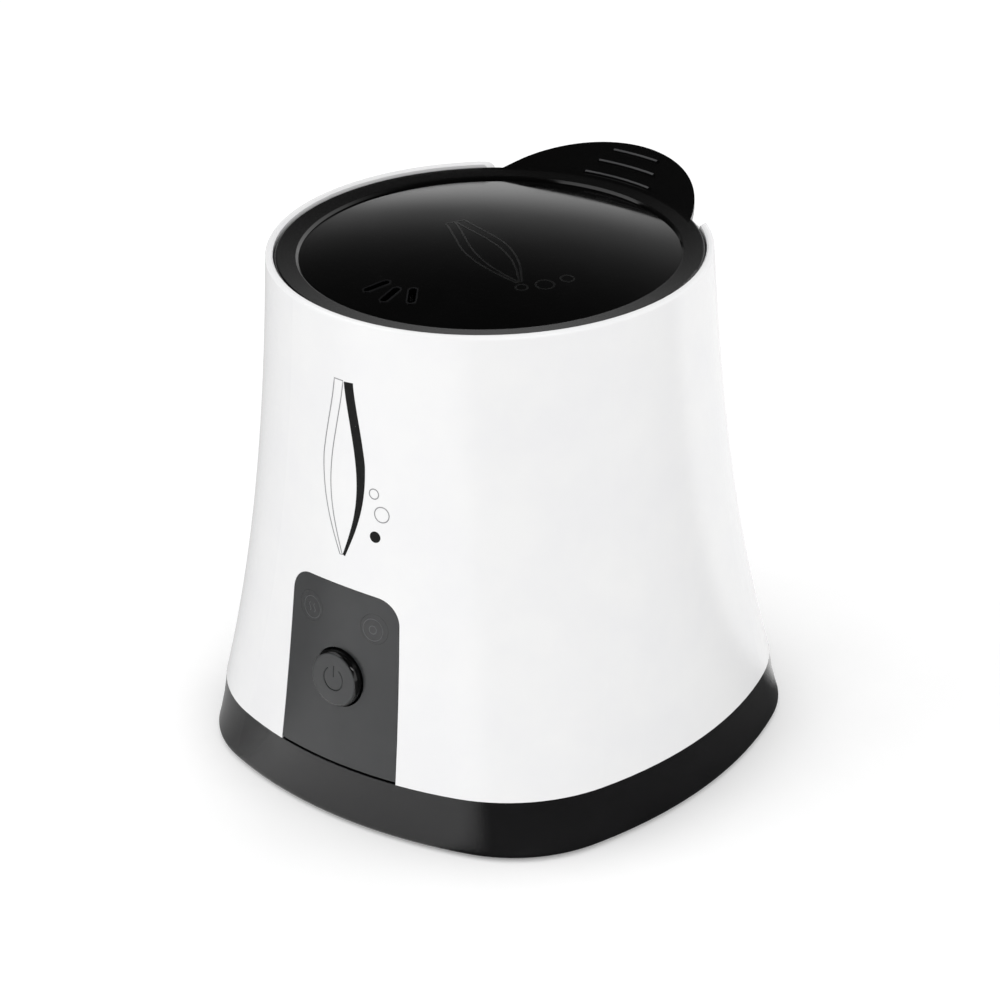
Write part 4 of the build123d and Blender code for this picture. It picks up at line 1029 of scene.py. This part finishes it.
# World: even light for matt surfaces, and for gloss a white horizon that fades to a dark ceiling,
# more slowly behind the object and to its right
ambient = 0.88
ceiling_tilt = (-0.38, -0.31, 1.0)
ceiling_top = (0.62, 0.015)
ceiling_stops = ((0.15, 1.0), (0.225, 0.46), (0.28, 0.26), (0.38, 0.085), (0.5, 0.025))
world = bpy.data.worlds.new("studio_world")
bpy.context.scene.world = world
world.use_nodes = True
tree = world.node_tree
tree.nodes.clear()
path = add_node(tree, "ShaderNodeLightPath")
way = add_node(tree, "ShaderNodeTexCoord")
height = add_node(
    tree,
    "ShaderNodeVectorMath",
    {"operation": "DOT_PRODUCT", 1: ceiling_tilt},
    {0: way.outputs["Generated"]},
)
ceiling = add_node(tree, "ShaderNodeValToRGB", {}, {"Fac": height.outputs["Value"]})
ceiling.color_ramp.interpolation = "B_SPLINE"
ceiling.color_ramp.elements[0].position = 0.0
ceiling.color_ramp.elements[0].color = (1.0, 1.0, 1.0, 1.0)
ceiling.color_ramp.elements[1].position = ceiling_top[0]
ceiling.color_ramp.elements[1].color = (ceiling_top[1],) * 3 + (1.0,)
for rise, shade in ceiling_stops:
    stop = ceiling.color_ramp.elements.new(rise)
    stop.color = (shade, shade, shade, 1.0)
mirrored = add_node(
    tree,
    "ShaderNodeMath",
    {"operation": "MAXIMUM"},
    {0: path.outputs["Is Glossy Ray"], 1: path.outputs["Is Transmission Ray"]},
)
studio = add_node(
    tree,
    "ShaderNodeMix",
    {"data_type": "RGBA", 6: (ambient, ambient, ambient, 1.0)},
    {0: mirrored.outputs["Value"], 7: ceiling.outputs["Color"]},
)
backdrop = add_node(
    tree,
    "ShaderNodeMix",
    {"data_type": "RGBA", 7: (1.0, 1.0, 1.0, 1.0)},
    {0: path.outputs["Is Camera Ray"], 6: studio.outputs[2]},
)
sky = add_node(tree, "ShaderNodeBackground", {"Strength": 1.0}, {"Color": backdrop.outputs[2]})
add_node(tree, "ShaderNodeOutputWorld", {}, {"Surface": sky.outputs["Background"]})


# A soft lamp that faces the object: azimuth and elevation in degrees, then metres and watts
def soft_lamp(name, azimuth, elevation, distance, width, height, power):
    data = bpy.data.lights.new(name, "AREA")
    data.shape = "RECTANGLE"
    data.size = width
    data.size_y = height
    data.energy = power
    lamp = bpy.data.objects.new(name, data)
    bpy.context.scene.collection.objects.link(lamp)
    around, above = math.radians(azimuth), math.radians(elevation)
    way = Vector(
        (math.sin(around) * math.cos(above), -math.cos(around) * math.cos(above), math.sin(above))
    )
    lamp.location = camera_target + way * distance
    lamp.rotation_euler = way.to_track_quat("Z", "Y").to_euler()
    lamp.visible_camera = False
    return lamp


soft_lamp("key_lamp", -48.0, 42.0, 1.6, 1.2, 1.0, 4.3)
soft_lamp("fill_lamp", 58.0, 38.0, 1.8, 1.4, 0.25, 4.1)


# A card on the table in a sector round the object, seen only by gloss, with edges that fade out:
# height in millimetres, then the sector's middle, half spread and fade in degrees
card_radius = 1.4


def table_card(name, height, middle, half_spread, fade, low, high):
    bpy.ops.mesh.primitive_circle_add(
        vertices=180, radius=card_radius, fill_type="TRIFAN", location=(0.0, 0.0, height * MM)
    )
    card = bpy.context.active_object
    card.name = name
    velvet = new_material(f"{name}_velvet")
    tree = velvet.node_tree
    place = add_node(tree, "ShaderNodeTexCoord")
    pile = add_node(
        tree, "ShaderNodeTexNoise", {"Scale": 90.0}, {"Vector": place.outputs["Object"]}
    )
    nap = two_tones(tree, pile.outputs["Fac"], low, high)
    cloth = add_node(tree, "ShaderNodeBsdfDiffuse", {}, {"Color": nap.outputs["Color"]})
    turned = add_node(
        tree,
        "ShaderNodeVectorRotate",
        {"rotation_type": "Z_AXIS", "Angle": math.radians(90.0 - middle)},
        {"Vector": place.outputs["Object"]},
    )
    around = add_node(
        tree,
        "ShaderNodeTexGradient",
        {"gradient_type": "RADIAL"},
        {"Vector": turned.outputs["Vector"]},
    )
    off_middle = add_node(
        tree, "ShaderNodeMath", {"operation": "SUBTRACT", 1: 0.5}, {0: around.outputs["Fac"]}
    )
    spread = add_node(
        tree, "ShaderNodeMath", {"operation": "ABSOLUTE"}, {0: off_middle.outputs["Value"]}
    )
    cover = add_node(
        tree,
        "ShaderNodeMapRange",
        {
            "interpolation_type": "SMOOTHSTEP",
            "From Min": (half_spread - fade) / 360.0,
            "From Max": (half_spread + fade) / 360.0,
            "To Min": 1.0,
            "To Max": 0.0,
        },
        {"Value": spread.outputs["Value"]},
    )
    clear = add_node(tree, "ShaderNodeBsdfTransparent")
    edge = add_node(
        tree,
        "ShaderNodeMixShader",
        {},
        {0: cover.outputs["Result"], 1: clear.outputs["BSDF"], 2: cloth.outputs["BSDF"]},
    )
    show(tree, edge)
    card.data.materials.append(velvet)
    for ray in ("camera", "diffuse", "transmission", "volume_scatter", "shadow"):
        setattr(card, f"visible_{ray}", False)


# The dark card shades the tray's front corner and right side, the grey one its left side
# and the left edge of the panel
table_card("dark_card", 0.3, 83.0, 56.0, 5.0, "#606060", "#686868")
table_card("grey_card", 0.6, -98.0, 64.0, 8.0, "#B4B4B4", "#BABABA")

bpy.context.scene.view_settings.view_transform = "Standard"
